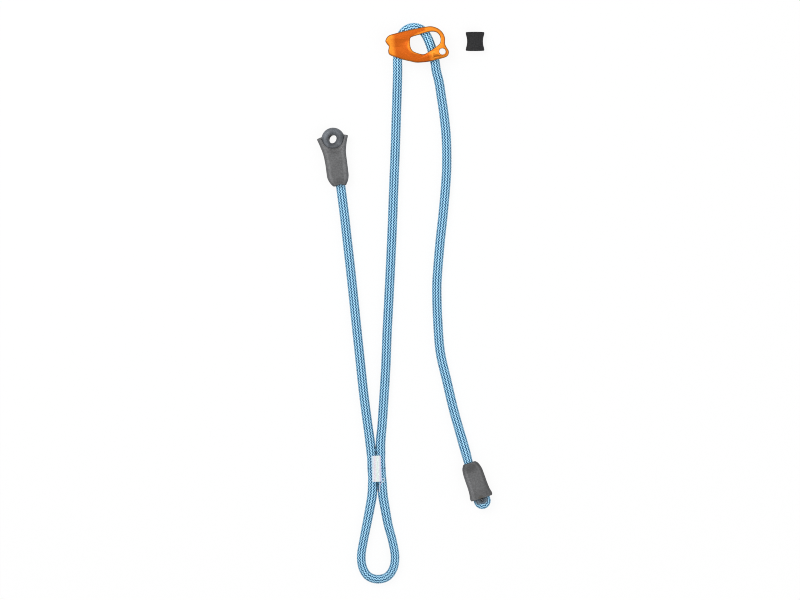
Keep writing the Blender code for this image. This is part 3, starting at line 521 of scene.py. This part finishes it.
def flat_curve(points, step):
    """Return a smooth closed outline, anticlockwise."""
    outline = smooth_rows(points, step, closed=True)
    ahead = np.roll(outline, -1, axis=0)
    area = (outline[:, 0] * ahead[:, 1] - ahead[:, 0] * outline[:, 1]).sum()
    return outline if area > 0.0 else outline[::-1]


def disc(centre, radius, count=48):
    """Return a round outline."""
    return circled(centre, radius, np.arange(count) * math.tau / count)


def capsule(start, end, radius):
    """Return the outline of a bar with round ends."""
    heading = math.atan2(end[1] - start[1], end[0] - start[0])
    turn = np.linspace(0.0, math.pi, 16)
    ends = ((end, heading - math.pi / 2), (start, heading + math.pi / 2))
    return np.vstack([circled(centre, radius, base + turn) for centre, base in ends])


def slab(name, outline, levels, material):
    """Loft an outline of the adjuster through levels of height and outward offset."""
    rings = []
    for height, distance in levels:
        ring = offset_outline(outline, distance) + BEND_CENTRE
        rings.append(joined(*ring.T, height))
    return skin(name, rings, material)


def quarter(steps):
    """Return how far a quarter circle has sunk and drawn in, step by step."""
    turns = np.linspace(0.0, math.pi / 2, steps)
    return [(1.0 - math.cos(turn), 1.0 - math.sin(turn)) for turn in turns]


def rounded_levels(low, high, high_radius, low_radius):
    """Return slab levels that round the edges at both faces."""
    rise = [(low + low_radius * up, -low_radius * aside) for up, aside in quarter(7)]
    fall = [(high - high_radius * down, -high_radius * aside) for down, aside in quarter(7)]
    return rise + fall[::-1]


def flared_levels(low, high, radius):
    """Return cutter levels that round the rim of a hole at both faces."""
    enter = [(low + radius * up, radius * aside) for up, aside in quarter(6)]
    leave = [(high - radius * down, radius * aside) for down, aside in quarter(6)]
    return [(low - 1.0, radius), *enter, *leave[::-1], (high + 1.0, radius)]


def new_material(name, roughness):
    """Return a material, its node tree and its Principled shader."""
    material = bpy.data.materials.new(name)
    material.use_nodes = True
    shader = material.node_tree.nodes["Principled BSDF"]
    shader.inputs["Roughness"].default_value = roughness
    return material, material.node_tree, shader


def ramped(tree, value, stops):
    """Turn a value into a colour by pairs of place and colour."""
    ramp = tree.nodes.new("ShaderNodeValToRGB")
    elements = ramp.color_ramp.elements
    while len(elements) < len(stops):
        elements.new(0.5)
    for element, (position, colour) in zip(elements, stops):
        element.position = position
        element.color = (*colour, 1.0)
    tree.links.new(value, ramp.inputs["Fac"])
    return ramp.outputs["Color"]


def feed(tree, node, inputs):
    """Give a node's inputs their values, or the outputs that feed them."""
    for label, value in inputs.items():
        if isinstance(value, bpy.types.NodeSocket):
            tree.links.new(value, node.inputs[label])
        else:
            node.inputs[label].default_value = value


def fed(tree, kind, inputs):
    """Add a node of a kind with its inputs; return it."""
    node = tree.nodes.new(kind)
    feed(tree, node, inputs)
    return node


def own_place(tree):
    """Return the place on the surface in the piece's own space."""
    return tree.nodes.new("ShaderNodeTexCoord").outputs["Object"]


def noise(tree, scale, detail, place=None):
    """Return the value of a noise texture at a place."""
    inputs = {"Vector": place or own_place(tree), "Scale": scale, "Detail": detail}
    return fed(tree, "ShaderNodeTexNoise", inputs).outputs["Fac"]


def coated(tree, shader, colour, height, strength, distance):
    """Give a shader its colour, and raise its surface by a texture's value."""
    bump = fed(tree, "ShaderNodeBump", {"Height": height, "Strength": strength, "Distance": distance * MM})
    feed(tree, shader, {"Base Color": colour, "Normal": bump.outputs["Normal"]})


def computed(tree, operation, first, second=0.0):
    """Return the result of an operation on one or two values."""
    sums = fed(tree, "ShaderNodeMath", {0: first, 1: second})
    sums.operation = operation
    return sums.outputs[0]


def measured(tree, operation, place, vector):
    """Return a vector's distance from another, its share along it, or its length."""
    compare = fed(tree, "ShaderNodeVectorMath", {0: place, 1: vector})
    compare.operation = operation
    return compare.outputs["Value"]


def eased(tree, value, start, end, low=0.0, high=1.0):
    """Return a value that changes softly from low to high while another goes from start to end."""
    span = {"Value": value, "From Min": start, "From Max": end, "To Min": low, "To Max": high}
    soft = fed(tree, "ShaderNodeMapRange", span)
    soft.interpolation_type = "SMOOTHSTEP"
    return soft.outputs["Result"]


def mixed(tree, first, second, factor=1.0, blend="MULTIPLY"):
    """Return two colours multiplied or mixed."""
    mix = fed(tree, "ShaderNodeMix", {"Factor": factor, 6: first, 7: second})
    mix.data_type = "RGBA"
    mix.blend_type = blend
    return mix.outputs[2]


def paint_by_slope(tree, colour, factors):
    """Paint light and shade into a colour by how level its surface lies, in pairs of levelness and factor."""
    normal = tree.nodes.new("ShaderNodeNewGeometry").outputs["Normal"]
    split = fed(tree, "ShaderNodeSeparateXYZ", {"Vector": normal})
    stops = [(place, (factor, factor, factor)) for place, factor in factors]
    slope_light = ramped(tree, computed(tree, "ABSOLUTE", split.outputs["Z"]), stops)
    return mixed(tree, colour, slope_light)


def paint_light_and_shade(tree, colour, spots):
    """Paint light and shade into a colour: multiply it by a factor round each spot, or turn it to another
    colour there.

    A spot is a centre, a radius and the factor or colour, which fades over the same distance again.
    """
    for place, radius, shade in spots:
        away = measured(tree, "DISTANCE", own_place(tree), [value * MM for value in place])
        edges = (radius * MM, 2.0 * radius * MM)
        if isinstance(shade, tuple):
            colour = mixed(tree, colour, (*shade, 1.0), eased(tree, away, *edges, 0.9, 0.0), "MIX")
        else:
            colour = mixed(tree, colour, eased(tree, away, *edges, shade))
    return colour


def within(tree, x, y, start, end, low=0.0):
    """Return a value that rises to 1 across a straight edge, from start to end along its heading."""
    reach = measured(tree, "DOT_PRODUCT", own_place(tree), (x, y, 0.0))
    return eased(tree, reach, start * MM, end * MM, low)


def yarn_material(name, colours):
    """Return the finish of fine filaments, which the braid's own coordinates run along."""
    material, tree, shader = new_material(name, 0.72)
    uv = tree.nodes.new("ShaderNodeUVMap")
    uv.uv_map = "Yarn"
    stretch = fed(tree, "ShaderNodeMapping", {"Vector": uv.outputs["UV"], "Scale": (9.0, 0.7, 1.0)})
    fibres = noise(tree, 1.0, 3.0, stretch.outputs["Vector"])
    colour = ramped(tree, fibres, tuple(zip((0.3, 0.72), colours)))
    # Painted light and shade round the rope's spots
    coated(tree, shader, paint_light_and_shade(tree, colour, YARN_PAINTED_LIGHT_AND_SHADE), fibres, 0.35, 0.1)
    return material


def moulded_material(name, colours, roughness, gloss, edge, spots=(), side=None):
    """Return a moulded plastic or rubber with a fine grain and a slow change of shade."""
    material, tree, shader = new_material(name, roughness)
    fine = noise(tree, 700.0, 4.0)
    slow = noise(tree, 90.0, 2.0)
    colour = mixed(tree, ramped(tree, fine, tuple(zip((0.38, 0.62), colours))), slow, 0.25)
    # Painted light and shade by how level the surface lies, and round the given spots
    colour = paint_light_and_shade(tree, paint_by_slope(tree, colour, edge), spots)
    # Painted shade past a straight edge, down one side
    if side:
        colour = mixed(tree, colour, within(tree, *side))
    shader.inputs["Specular IOR Level"].default_value = gloss
    coated(tree, shader, colour, fine, 0.16, 0.12)
    return material


def metal_material(name, colours, roughness, metallic):
    """Return a blasted and anodised metal with its node tree, shader and colour."""
    material, tree, shader = new_material(name, roughness)
    fine = noise(tree, 1600.0, 3.0)
    colour = ramped(tree, fine, tuple(zip((0.3, 0.7), colours)))
    shader.inputs["Metallic"].default_value = metallic
    coated(tree, shader, colour, fine, 0.12, 0.05)
    return material, tree, shader, colour


def cheek_material():
    """Return the orange finish: deep on the flat middle of a cheek, lighter towards its rims as a painted
    highlight, with painted shade on its steep edges.
    """
    material, tree, shader, field = metal_material("orange_anodised", DEEP_ORANGES, 0.42, 0.5)
    shader.inputs["Specular IOR Level"].default_value = 0.15
    centre, half, turn = OPENING_OVAL
    oval = fed(tree, "ShaderNodeMapping", {
        "Vector": own_place(tree),
        "Location": ((centre[0] + BEND_CENTRE[0]) * MM, (centre[1] + BEND_CENTRE[1]) * MM, 0.0),
        "Rotation": (0.0, 0.0, math.radians(turn)),
        "Scale": (half[0] * MM, half[1] * MM, 1.0),
    })
    oval.vector_type = "TEXTURE"
    inside = eased(tree, measured(tree, "LENGTH", oval.outputs["Vector"], (0.0, 0.0, 0.0)), *OVAL_EDGE)
    for x, y, reach, width in FIELD_EDGES:
        start = x * BEND_CENTRE[0] + y * BEND_CENTRE[1] + reach
        inside = computed(tree, "MULTIPLY", inside, within(tree, x, y, start, start - width))
    # Lighter orange painted outside the deep field as a highlight on the rims
    colour = mixed(tree, (*RIM_HIGHLIGHT_ORANGE, 1.0), field, inside, "MIX")
    # Painted shade on the steep edges
    tree.links.new(paint_by_slope(tree, colour, CHEEK_PAINTED_EDGE_SHADE), shader.inputs["Base Color"])
    return material


def thread_material():
    """Return the sewing thread, in pale coloured columns across the loop's stitching, with a darker violet
    one painted as shade by its right edge.
    """
    material, tree, shader = new_material("sewing_thread", 0.7)
    split = fed(tree, "ShaderNodeSeparateXYZ", {"Vector": own_place(tree)})
    low, high = THREAD_SPAN
    span = {"Value": split.outputs["X"], "From Min": low * MM, "From Max": high * MM}
    columns = ramped(tree, fed(tree, "ShaderNodeMapRange", span).outputs["Result"], THREAD_COLUMNS)
    fibres = noise(tree, 2400.0, 3.0)
    coated(tree, shader, mixed(tree, columns, fibres, 0.3), fibres, 0.3, 0.08)
    return material


def stage_and_camera():
    """Make the floor, which glows for the camera to stay white, the soft lamps and the camera."""
    material, tree, shader = new_material("floor_white", 0.9)
    feed(tree, shader, {"Base Color": (0.9, 0.9, 0.9, 1.0), "Specular IOR Level": 0.0})
    glow = fed(tree, "ShaderNodeEmission", {"Color": WHITE})
    ray = tree.nodes.new("ShaderNodeLightPath").outputs
    seen = computed(tree, "MAXIMUM", ray["Is Camera Ray"], ray["Is Glossy Ray"])
    seen = computed(tree, "MAXIMUM", seen, ray["Is Transmission Ray"])
    share = computed(tree, "MULTIPLY", seen, FLOOR_GLOW)
    mix = fed(tree, "ShaderNodeMixShader", {
        "Fac": share, 1: shader.outputs["BSDF"], 2: glow.outputs["Emission"],
    })
    tree.links.new(mix.outputs["Shader"], tree.nodes["Material Output"].inputs["Surface"])
    corners = FLOOR_HALF * np.array([(-1, -1, 0), (1, -1, 0), (1, 1, 0), (-1, 1, 0)])
    surface("floor", corners, [(0, 1, 2, 3)], [material])[0]

    scene = bpy.context.scene
    scene.world = bpy.data.worlds.new("studio")
    scene.world.use_nodes = True
    sky = scene.world.node_tree
    feed(sky, sky.nodes["Background"], {"Color": WHITE, "Strength": SKY_LIGHT})
    for name, place, size, power in LAMPS:
        lamp = bpy.data.lights.new(name, "AREA")
        lamp.size = size
        lamp.energy = power
        thing = add(name, lamp)
        thing.location = place
        thing.rotation_euler = (-Vector(place)).to_track_quat("-Z", "Y").to_euler()

    data = bpy.data.cameras.new("camera")
    data.lens = LENS
    data.sensor_width = SENSOR_WIDTH
    distance = PHOTO_WIDTH * MM * LENS / SENSOR_WIDTH
    data.clip_end = 2.0 * distance
    scene.camera = add("camera", data)
    scene.camera.location = (PHOTO_CENTRE[0] * MM, PHOTO_CENTRE[1] * MM, distance)
    scene.view_settings.view_transform = "Standard"
    scene.cycles.filter_width = 1.0
    scene.cycles.denoising_prefilter = "NONE"


def rope_sizes(line):
    """Return the rope's half width and half height along a line, which change round the loop's stitching."""
    past = np.abs(line[:, 1] - STITCH_Y)
    arms, loop = (np.interp(past, STITCH_REACH, widths) for widths in (ARM_WIDTHS, LOOP_WIDTHS))
    height = np.interp(past, (9.0, 15.0), (STITCHED_RADIUS, ROPE_RADIUS))
    return np.where(line[:, 1] > STITCH_Y, arms, loop), height


def build_rope(dark, light):
    """Make the one rope, from inside the fixed sleeve to inside the free one, in its five stretches."""
    routes = [
        raised(FIXED_ARM, THROAT_HEIGHT), raised(LOOP, ROPE_RADIUS), raised(ADJUSTABLE_ARM, CHANNEL_HEIGHT),
        raised(BEND, CHANNEL_HEIGHT),
        raised(FREE_ARM_TOP, CHANNEL_HEIGHT) + raised(FREE_ARM_FOOT, THROAT_HEIGHT),
    ]
    line = smooth_rows([point for route in routes for point in route], ROW, lowest=ROPE_RADIUS)
    wide, high = rope_sizes(line)
    joins = [0]
    for route in routes[1:]:
        away = np.linalg.norm(line[joins[-1]:] - np.array(route[0]), axis=1)
        joins.append(joins[-1] + int(np.argmin(away)))
    joins.append(len(line) - 1)
    stretches = {}
    for name, first, last in zip(STRETCHES, joins, joins[1:]):
        part = slice(first, last + 1)
        rope = braid("braided_" + name, line[part], wide[part], high[part], first, [dark, light])
        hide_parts(name)
        stretches[name] = (rope, line[part])
    return stretches


def ends_rope(name, stations, place, turn, materials):
    """Make rope with an oval section inside a sleeve from its stations."""
    table = smooth_rows(stations, ROW)
    line = placed(table[:, :3], place, turn)
    return braid(name, line, table[:, 3], table[:, 4], 0, materials)


def strand_legs(centre):
    """Return the stations of both strands between the throat and the end of the stitching.

    A station is sideways, ahead, height, half width and half height.
    """
    live, tail = centre + STRAND_OFFSET, centre - STRAND_OFFSET
    section = (SLEEVE_MIDDLE, *STRAND)
    live_leg = [
        (0.0, 6.55, THROAT_HEIGHT, 4.3, 4.3), (0.0, STRAIGHT_START - 9.6, THROAT_HEIGHT, 4.2, 4.5),
        (live * 0.5, STRAIGHT_START - 6.4, SLEEVE_MIDDLE - 0.2, *STRAND),
        (live * 0.95, STRAIGHT_START - 2.8, *section),
    ]
    straight = (STRAIGHT_START, STRAIGHT_START + 7.0, STRAIGHT_END)
    live_leg += [(live, ahead, *section) for ahead in straight]
    return live_leg, [(tail, ahead, *section) for ahead in (*straight[::-1], STRAIGHT_START - 4.4)]


def turned(centre, radius, degrees, section):
    """Return stations on an arc about a centre, one for each turn."""
    return [(*point, *section) for point in circled(centre, radius, np.radians(degrees))]


def build_end_ropes(materials):
    """Make the sewn eye and the folded end of the rope."""
    live, tail = strand_legs(FIXED_CENTRE)
    neck = (EYE_DISTANCE - 8.7, SLEEVE_MIDDLE, 3.2, 4.4)
    arch = turned((FIXED_CENTRE, EYE_DISTANCE), EYE_MIDDLE, (-25, 5, 35, 62, 90, 118, 145, 175, 205),
                  (SLEEVE_MIDDLE, *EYE_STRAND))
    stations = [*live, (FIXED_CENTRE + 6.0, *neck), *arch, (FIXED_CENTRE - 6.0, *neck), *tail]
    eye = ends_rope("braided_eye", stations, *FIXED_PLACE, materials)
    live, tail = strand_legs(FREE_CENTRE)
    section = (SLEEVE_MIDDLE, FOLD_RADIUS, FOLD_HALF_HEIGHT)
    fold = turned((FREE_CENTRE, FOLD_CENTRE), FOLD_RADIUS, range(0, 181, 30), section)
    before = (FREE_CENTRE + FOLD_RADIUS, FOLD_CENTRE - 3.2, *section)
    after = (FREE_CENTRE - FOLD_RADIUS, *before[1:])
    stations = [*live, before, *fold, after, *tail]
    return eye, ends_rope("braided_fold", stations, *FREE_PLACE, materials)


def superellipse(count, squareness):
    """Return how far round points reach sideways and upwards, for a rounded rectangle, and their turns."""
    turn = (np.arange(count) + 0.5) * math.tau / count
    parts = (np.cos(turn), np.sin(turn))
    return *(np.sign(part) * np.abs(part) ** (2.0 / squareness) for part in parts), turn


def sleeve(name, table, hole, bulge, scoop, place, turn, material):
    """Make a moulded sleeve: a round throat under an arch, and a mouth that may bulge or be scooped out."""
    fine = smooth_rows(table, 0.6)
    reach, rise, around = superellipse(144, SLEEVE_SQUARENESS)
    first, last = table[0][0], table[-1][0]
    aside, bore, arch = hole
    arched = arch * np.clip(1.0 - (reach / 0.8) ** 2, 0.0, 1.0) * (rise > 0.0)

    def ring(level, wall):
        centre, half_width, half_thickness = (np.interp(level, fine[:, 0], fine[:, k]) for k in (1, 2, 3))
        near = np.clip((level - edge) / SCOOP_REACH + 1.0, 0.0, 1.0) if scoop else 0.0
        sunk = SCOOP_DEPTH * near ** 2 * (3.0 - 2.0 * near) * (rise > 0.0) * (1.0 - reach ** 4)
        height = SLEEVE_MIDDLE + (half_thickness - wall - sunk) * rise
        return joined(centre + (half_width - wall) * reach, level, height)

    whole = last + bulge * (1.0 - reach ** 2)
    edge = whole
    if scoop:
        for _ in range(30):
            sideways = ring(np.minimum(edge, last), 0.0)[:, 0] - scoop[0]
            arc = scoop[1] - np.sqrt(np.maximum(0.0, scoop[2] ** 2 - sideways ** 2))
            inside = (np.abs(sideways) < scoop[2]) & (rise > 0.0)
            slot = EYE_DISTANCE - np.sqrt(np.maximum(0.0, EYE_MIDDLE ** 2 - sideways ** 2))
            under = (np.abs(sideways) < EYE_MIDDLE) & (rise < 0.0)
            wanted = np.where(inside, np.minimum(whole, arc), np.where(under, slot, whole))
            edge = 0.6 * edge + 0.4 * wanted
    for _ in range(2):
        edge = (np.roll(edge, 1) + 2.0 * edge + np.roll(edge, -1)) / 4.0
    edge -= SLEEVE_LIP
    mouth = last - SLEEVE_LIP
    outer = []
    for level in np.linspace(first + 0.5, mouth, 64):
        share = max(0.0, 1.0 - (mouth - level) / MOUTH_REACH)
        arch_share = max(0.0, 1.0 - (level - first) / ARCH_REACH)
        outer.append(level + share * (edge - mouth) + arched * arch_share)
    rings = [ring(level, 0.0) for level in outer]
    for swing in np.radians(range(30, 180, 30)):
        lip = ring(outer[-1], SLEEVE_WALL / 2 * (1.0 - math.cos(swing)))
        lip[:, 1] = edge + 0.5 * math.sin(swing)
        rings.append(lip)
    hollow = table[2][0]
    rings += [ring(level, SLEEVE_WALL) for level in outer[::-2] if level.min() > hollow]
    for level, wider in ((hollow, 0.0), (first + 0.6, 0.0), (first + 0.2, 0.1), (first, 0.3)):
        across, height = circled((aside, THROAT_HEIGHT), bore + wider, around).T
        rings.append(joined(across, level + arched, height))
    rings += [ring(first + arched, 0.45), ring(first + 0.2 + arched, 0.12)]
    return skin(name, [placed(one, place, turn) for one in rings], material, closed=True)


def eye_cover(name, material):
    """Make the moulded ring round the sewn eye, with a bead round its hole, which leans to one side."""
    reach, rise, _ = superellipse(48, 2.0)
    sideways = EYE_MIDDLE + (EYE_RADIUS - EYE_HOLE) / 2 * reach
    height = COVER_HALF_HEIGHT * rise
    bead, away, spread = COVER_BEAD
    bump = np.exp(-((sideways - EYE_HOLE - away) / spread) ** 2)
    height += np.sign(rise) * bead * bump * (np.abs(rise) > 0.3)
    under, over, back = EYE_LEAN
    near = (EYE_RADIUS - sideways) / (EYE_RADIUS - EYE_HOLE)
    steep = np.clip(np.abs(height) / 2.5, 0.0, 1.0)
    near *= steep ** 2 * (3.0 - 2.0 * steep)
    rings = []
    for turn in np.arange(120) * math.tau / 120:
        side = math.cos(turn - math.radians(EYE_LEAN_SIDE))
        top, bottom = (over * side, -under * side) if side > 0.0 else (back * side, 0.0)
        reach = sideways + near * np.where(height > 0.0, top, bottom)
        level = circled((FIXED_CENTRE, EYE_DISTANCE), reach, turn)
        rings.append(joined(*level.T, SLEEVE_MIDDLE + height))
    return skin(name, [placed(one, *FIXED_PLACE) for one in rings], material, closed=True)


def thread_block(name, place, turn, size, half_height, middle, material):
    """Make a bar of stitches over, between and under two strands of rope, a rib for each pass of thread."""
    length, half = size[0], size[1] / 2
    web, thick, room = 0.25, 0.45, 0.3
    low, high = max(middle - half_height - room, 0.25), middle + half_height + room
    below = min(thick, low - 0.03)
    across = np.linspace(half, -half, 17)
    swell = 0.55 + 0.45 * np.sin(np.clip(np.abs(across) / half, 0.0, 1.0) * math.pi) ** 0.5
    over = [(x, high + thick * k, 0.0, 1.0) for x, k in zip(across, swell)]
    under = [(-x, low - below * k, 0.0, -1.0) for x, k in zip(across, swell)]
    left = [(-half, high, -1.0), (-web, high, 0.0), (-web, low, 0.0), (-half, low, -1.0)]
    right = [(half, low, 1.0), (web, low, 0.0), (web, high, 0.0), (half, high, 1.0)]
    sides = [[(*corner, 0.0) for corner in corners] for corners in (left, right)]
    loop = np.array([*over, *sides[0], *under, *sides[1]])
    ribs, steps = round(length / RIB), 6
    rings = []
    for index in range(ribs * steps + 1):
        rib, phase = index // steps, math.pi * index / steps
        level = (index / (ribs * steps) - 0.5) * length
        wave = math.cos(phase) ** 2
        wobble = 0.12 * math.sin(2.9 * rib) - 0.1
        x = loop[:, 0] + loop[:, 2] * (0.16 * (wave - 1.0) + wobble)
        z = loop[:, 1] + loop[:, 3] * 0.2 * (wave - 1.0)
        lean = 0.105 * np.sin(loop[:, 0] * 1.9 + rib * 1.7) * math.sin(phase) ** 2
        rings.append(placed(joined(x, level + lean, z), place, turn))
    return skin(name, rings, material)


def thread_end(name, route, radius, material):
    """Make a loose end of thread along a route."""
    line = smooth_rows(route, 0.25)
    size = radius * (1.0 + 0.12 * np.sin(np.arange(len(line)) * 1.3))[:, None]
    return skin(name, tube(line, size, size, np.arange(10) * math.tau / 10), material)


def cheek(name, levels, high, material):
    """Make one cheek, and the cutters of its carabiner opening and of its release hole up to a height."""
    low, top = levels[0][0], levels[-1][0]
    plate = slab(name, flat_curve(OUTLINE, 0.7), levels, material)
    opening = slab("opening", flat_curve(OPENING, 0.7), flared_levels(low, top, 1.3), material)
    hole = slab("hole", disc(RELEASE_HOLE, RELEASE_RADIUS), flared_levels(low, high, 0.8), material)
    return plate, [(opening, "DIFFERENCE")], (hole, "DIFFERENCE")


def stroke(points, half_width):
    """Return the outline of a line drawn with a round pen."""
    line = smooth_rows(points, 0.5)
    along = unit(np.gradient(line, axis=0))
    side = joined(along[:, 1], -along[:, 0]) * half_width
    ends = []
    for point, heading in ((line[-1], along[-1]), (line[0], -along[0])):
        turn = np.linspace(-1.2, 1.2, 5) + math.atan2(heading[1], heading[0])
        ends.append(circled(point, half_width, turn))
    return np.vstack([line + side, ends[0], (line - side)[::-1], ends[1]])


def build_adjuster(orange, steel):
    """Make the cheeks, the saddle, the bars and the rivets; return the pieces by the nodes they replace."""
    front_low, front_top = PLATE + CHANNEL, 2.0 * PLATE + CHANNEL
    back, back_cuts, hole = cheek("orange_back_cheek", rounded_levels(0.0, PLATE, 0.8, 1.9), PLATE, orange)
    back_cuts.append(hole)
    for centre in RIVETS.values():
        seat = slab("seat", disc(centre, RIVET_RADIUS + 0.3), [(-1.0, 0.0), (1.0, 0.0)], orange)
        back_cuts.append((seat, "DIFFERENCE"))
    levels = rounded_levels(front_low, front_top, 1.9, 0.8)
    front, front_cuts, hole = cheek("orange_front_cheek", levels, front_top + LUG_RISE, orange)
    for name, outline, levels, operation in (
        ("pad", capsule(*LUG_BAR), PAD_LEVELS, "UNION"),
        ("groove", stroke(LUG_GROOVE, 0.45), ((-0.7, 0.0), (2.0, 0.0)), "DIFFERENCE"),
        ("panel", flat_curve(PANEL, 0.5), PANEL_LEVELS, "DIFFERENCE"),
    ):
        cutter = slab(name, outline, [(front_top + rise, grow) for rise, grow in levels], orange)
        front_cuts.append((cutter, operation))
    front_cuts.append(hole)
    pieces = {"adjuster_back_plate": carve(back, back_cuts), "adjuster_front_plate": carve(front, front_cuts)}
    levels = rounded_levels(PLATE + 0.3, front_low - 0.3, 0.5, 0.5)
    saddle = slab("orange_saddle", disc((0.0, 0.0), SADDLE_RADIUS, 96), levels, orange)
    through = slab("through", flat_curve(OPENING, 0.7), [(0.0, 0.0), (20.0, 0.0)], orange)
    pieces["adjuster_bollard"] = carve(saddle, [(through, "DIFFERENCE")])
    for label, bar in BARS.items():
        pieces[f"adjuster_{label}_bar"] = slab(f"orange_{label}_bar", capsule(*bar), levels, orange)
    for label, centre in RIVETS.items():
        rivet = slab(f"steel_{label}_rivet", disc(centre, RIVET_RADIUS), RIVET_LEVELS, steel)
        pieces[f"adjuster_{label}_rivet"] = rivet
    return pieces


def keeper(name, material):
    """Make the waisted rubber ring with a bead at each end."""
    reach, rise, _ = superellipse(112, 3.0)
    half = KEEPER_LENGTH / 2

    def ring(level, growth):
        bow = min(1.0, abs(level) / (half - KEEPER_BEAD)) ** 2
        wide, high = ((waist + wider * bow) / 2 + growth for waist, wider in zip(KEEPER_WAIST, KEEPER_GROWTH))
        crown = KEEPER_CROWN * (1.0 - reach ** 2) * level / half
        x, y = KEEPER_CENTRE
        return joined(x + wide * reach, y + level + crown, KEEPER_MIDDLE + high * rise)

    rings = []
    for level in np.linspace(-half + KEEPER_LIP, half - KEEPER_LIP, 70):
        crease = math.exp(-((abs(level) - half + KEEPER_BEAD) / 0.25) ** 2)
        rings.append(ring(level, -0.25 * crease))
    lip = list(circled((half - KEEPER_LIP, -KEEPER_LIP), KEEPER_LIP, np.radians(range(75, -1, -15))))
    lip += [(half - 0.1, 0.2 - KEEPER_WALL), (half - 0.5, -KEEPER_WALL)]
    rings += [ring(level, growth) for level, growth in lip]
    rings += [ring(level, -KEEPER_WALL) for level in np.linspace(half - 1.5, -half + 1.5, 20)]
    rings += [ring(-level, growth) for level, growth in reversed(lip)]
    return skin(name, rings, material, closed=True)


def dress(thing, node, body):
    """Let a piece stand in for a node and move with a body."""
    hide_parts(node)
    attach(thing, body)


def build_fittings(yarns):
    """Make everything but the free rope."""
    thread = thread_material()
    # Places of painted light and shade on the eye cover, the first also on the fixed sleeve
    cover_painting = []
    for sideways, ahead, height, radius, shade in COVER_PAINTED_LIGHT_AND_SHADE:
        x, y = placed((FIXED_CENTRE + sideways, EYE_DISTANCE + ahead, 0.0), *FIXED_PLACE)[:2]
        cover_painting.append(((x, y, height), radius, shade))
    sleeve_painting = [cover_painting[0], *SLEEVE_PAINTED_SHADE]
    grey = moulded_material("sleeve_grey", SLEEVE_GREYS, 0.6, 0.4, SLEEVE_PAINTED_EDGE_LIGHT, sleeve_painting, FREE_SIDE_PAINTED_SHADE)
    cover = moulded_material("eye_cover_grey", COVER_GREYS, 0.5, 0.4, COVER_PAINTED_EDGE_SHADE, cover_painting)
    black = moulded_material("keeper_black", KEEPER_BLACKS, 0.62, 0.22, KEEPER_PAINTED_EDGE_LIGHT)
    orange = cheek_material()
    steel = metal_material("rivet_steel", STEEL_GREYS, 0.35, 1.0)[0]
    eye, folded = build_end_ropes(yarns)
    dress(eye, "rope_fixed_end_eye", "loop_body")
    dress(folded, "rope_free_end_loop", "free_end")
    dress(eye_cover("moulded_eye_cover", cover), "fixed_end_eye_cover", "loop_body")
    fixed = sleeve("moulded_fixed_sleeve", FIXED_SLEEVE, FIXED_HOLE, FIXED_BULGE, SCOOP, *FIXED_PLACE, grey)
    dress(fixed, "fixed_end_sleeve", "fixed_sleeve")
    free = sleeve("moulded_free_sleeve", FREE_SLEEVE, FREE_HOLE, 0.0, None, *FREE_PLACE, grey)
    dress(free, "free_end_sleeve", "free_sleeve")
    loop = thread_block("loop_stitches", (STITCH_X, STITCH_Y), STITCH_TURN, LOOP_STITCHES, STITCHED_RADIUS,
                        ROPE_RADIUS, thread)
    dress(loop, "loop_stitching", "loop_body")
    for label, (throat, turn), centre, body in (
        ("fixed", FIXED_PLACE, FIXED_CENTRE, "loop_body"), ("free", FREE_PLACE, FREE_CENTRE, "free_end"),
    ):
        place = placed((centre, END_STITCH_MIDDLE, 0.0), throat, turn)
        name = f"{label}_end_stitches"
        block = thread_block(name, place, turn, END_STITCHES, STRAND[1], SLEEVE_MIDDLE, thread)
        dress(block, f"{label}_end_stitching", body)
    loose = thread_end("loose_thread_end", LOOSE_THREAD, LOOSE_THREAD_RADIUS, thread)
    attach(loose, "loop_body")
    for node, piece in build_adjuster(orange, steel).items():
        dress(piece, node, "adjuster")
    dress(keeper("rubber_keeper", black), "carabiner_keeper", "keeper")


def main():
    """Dress the lanyard and set the stage."""
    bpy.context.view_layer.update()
    dark = yarn_material("yarn_blue", BLUE_YARN)
    light = yarn_material("yarn_pale", PALE_YARN)
    stretches = build_rope(dark, light)
    arm, arm_line = stretches["rope_adjustable_arm"]
    free, free_line = stretches["rope_free_arm"]
    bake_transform(arm)
    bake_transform(free)
    for name in ("rope_fixed_arm", "rope_tie_in_loop"):
        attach(stretches[name][0], "loop_body")
    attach(stretches["rope_bend"][0], "running_rope")
    build_fittings([dark, light])
    stage_and_camera()


main()
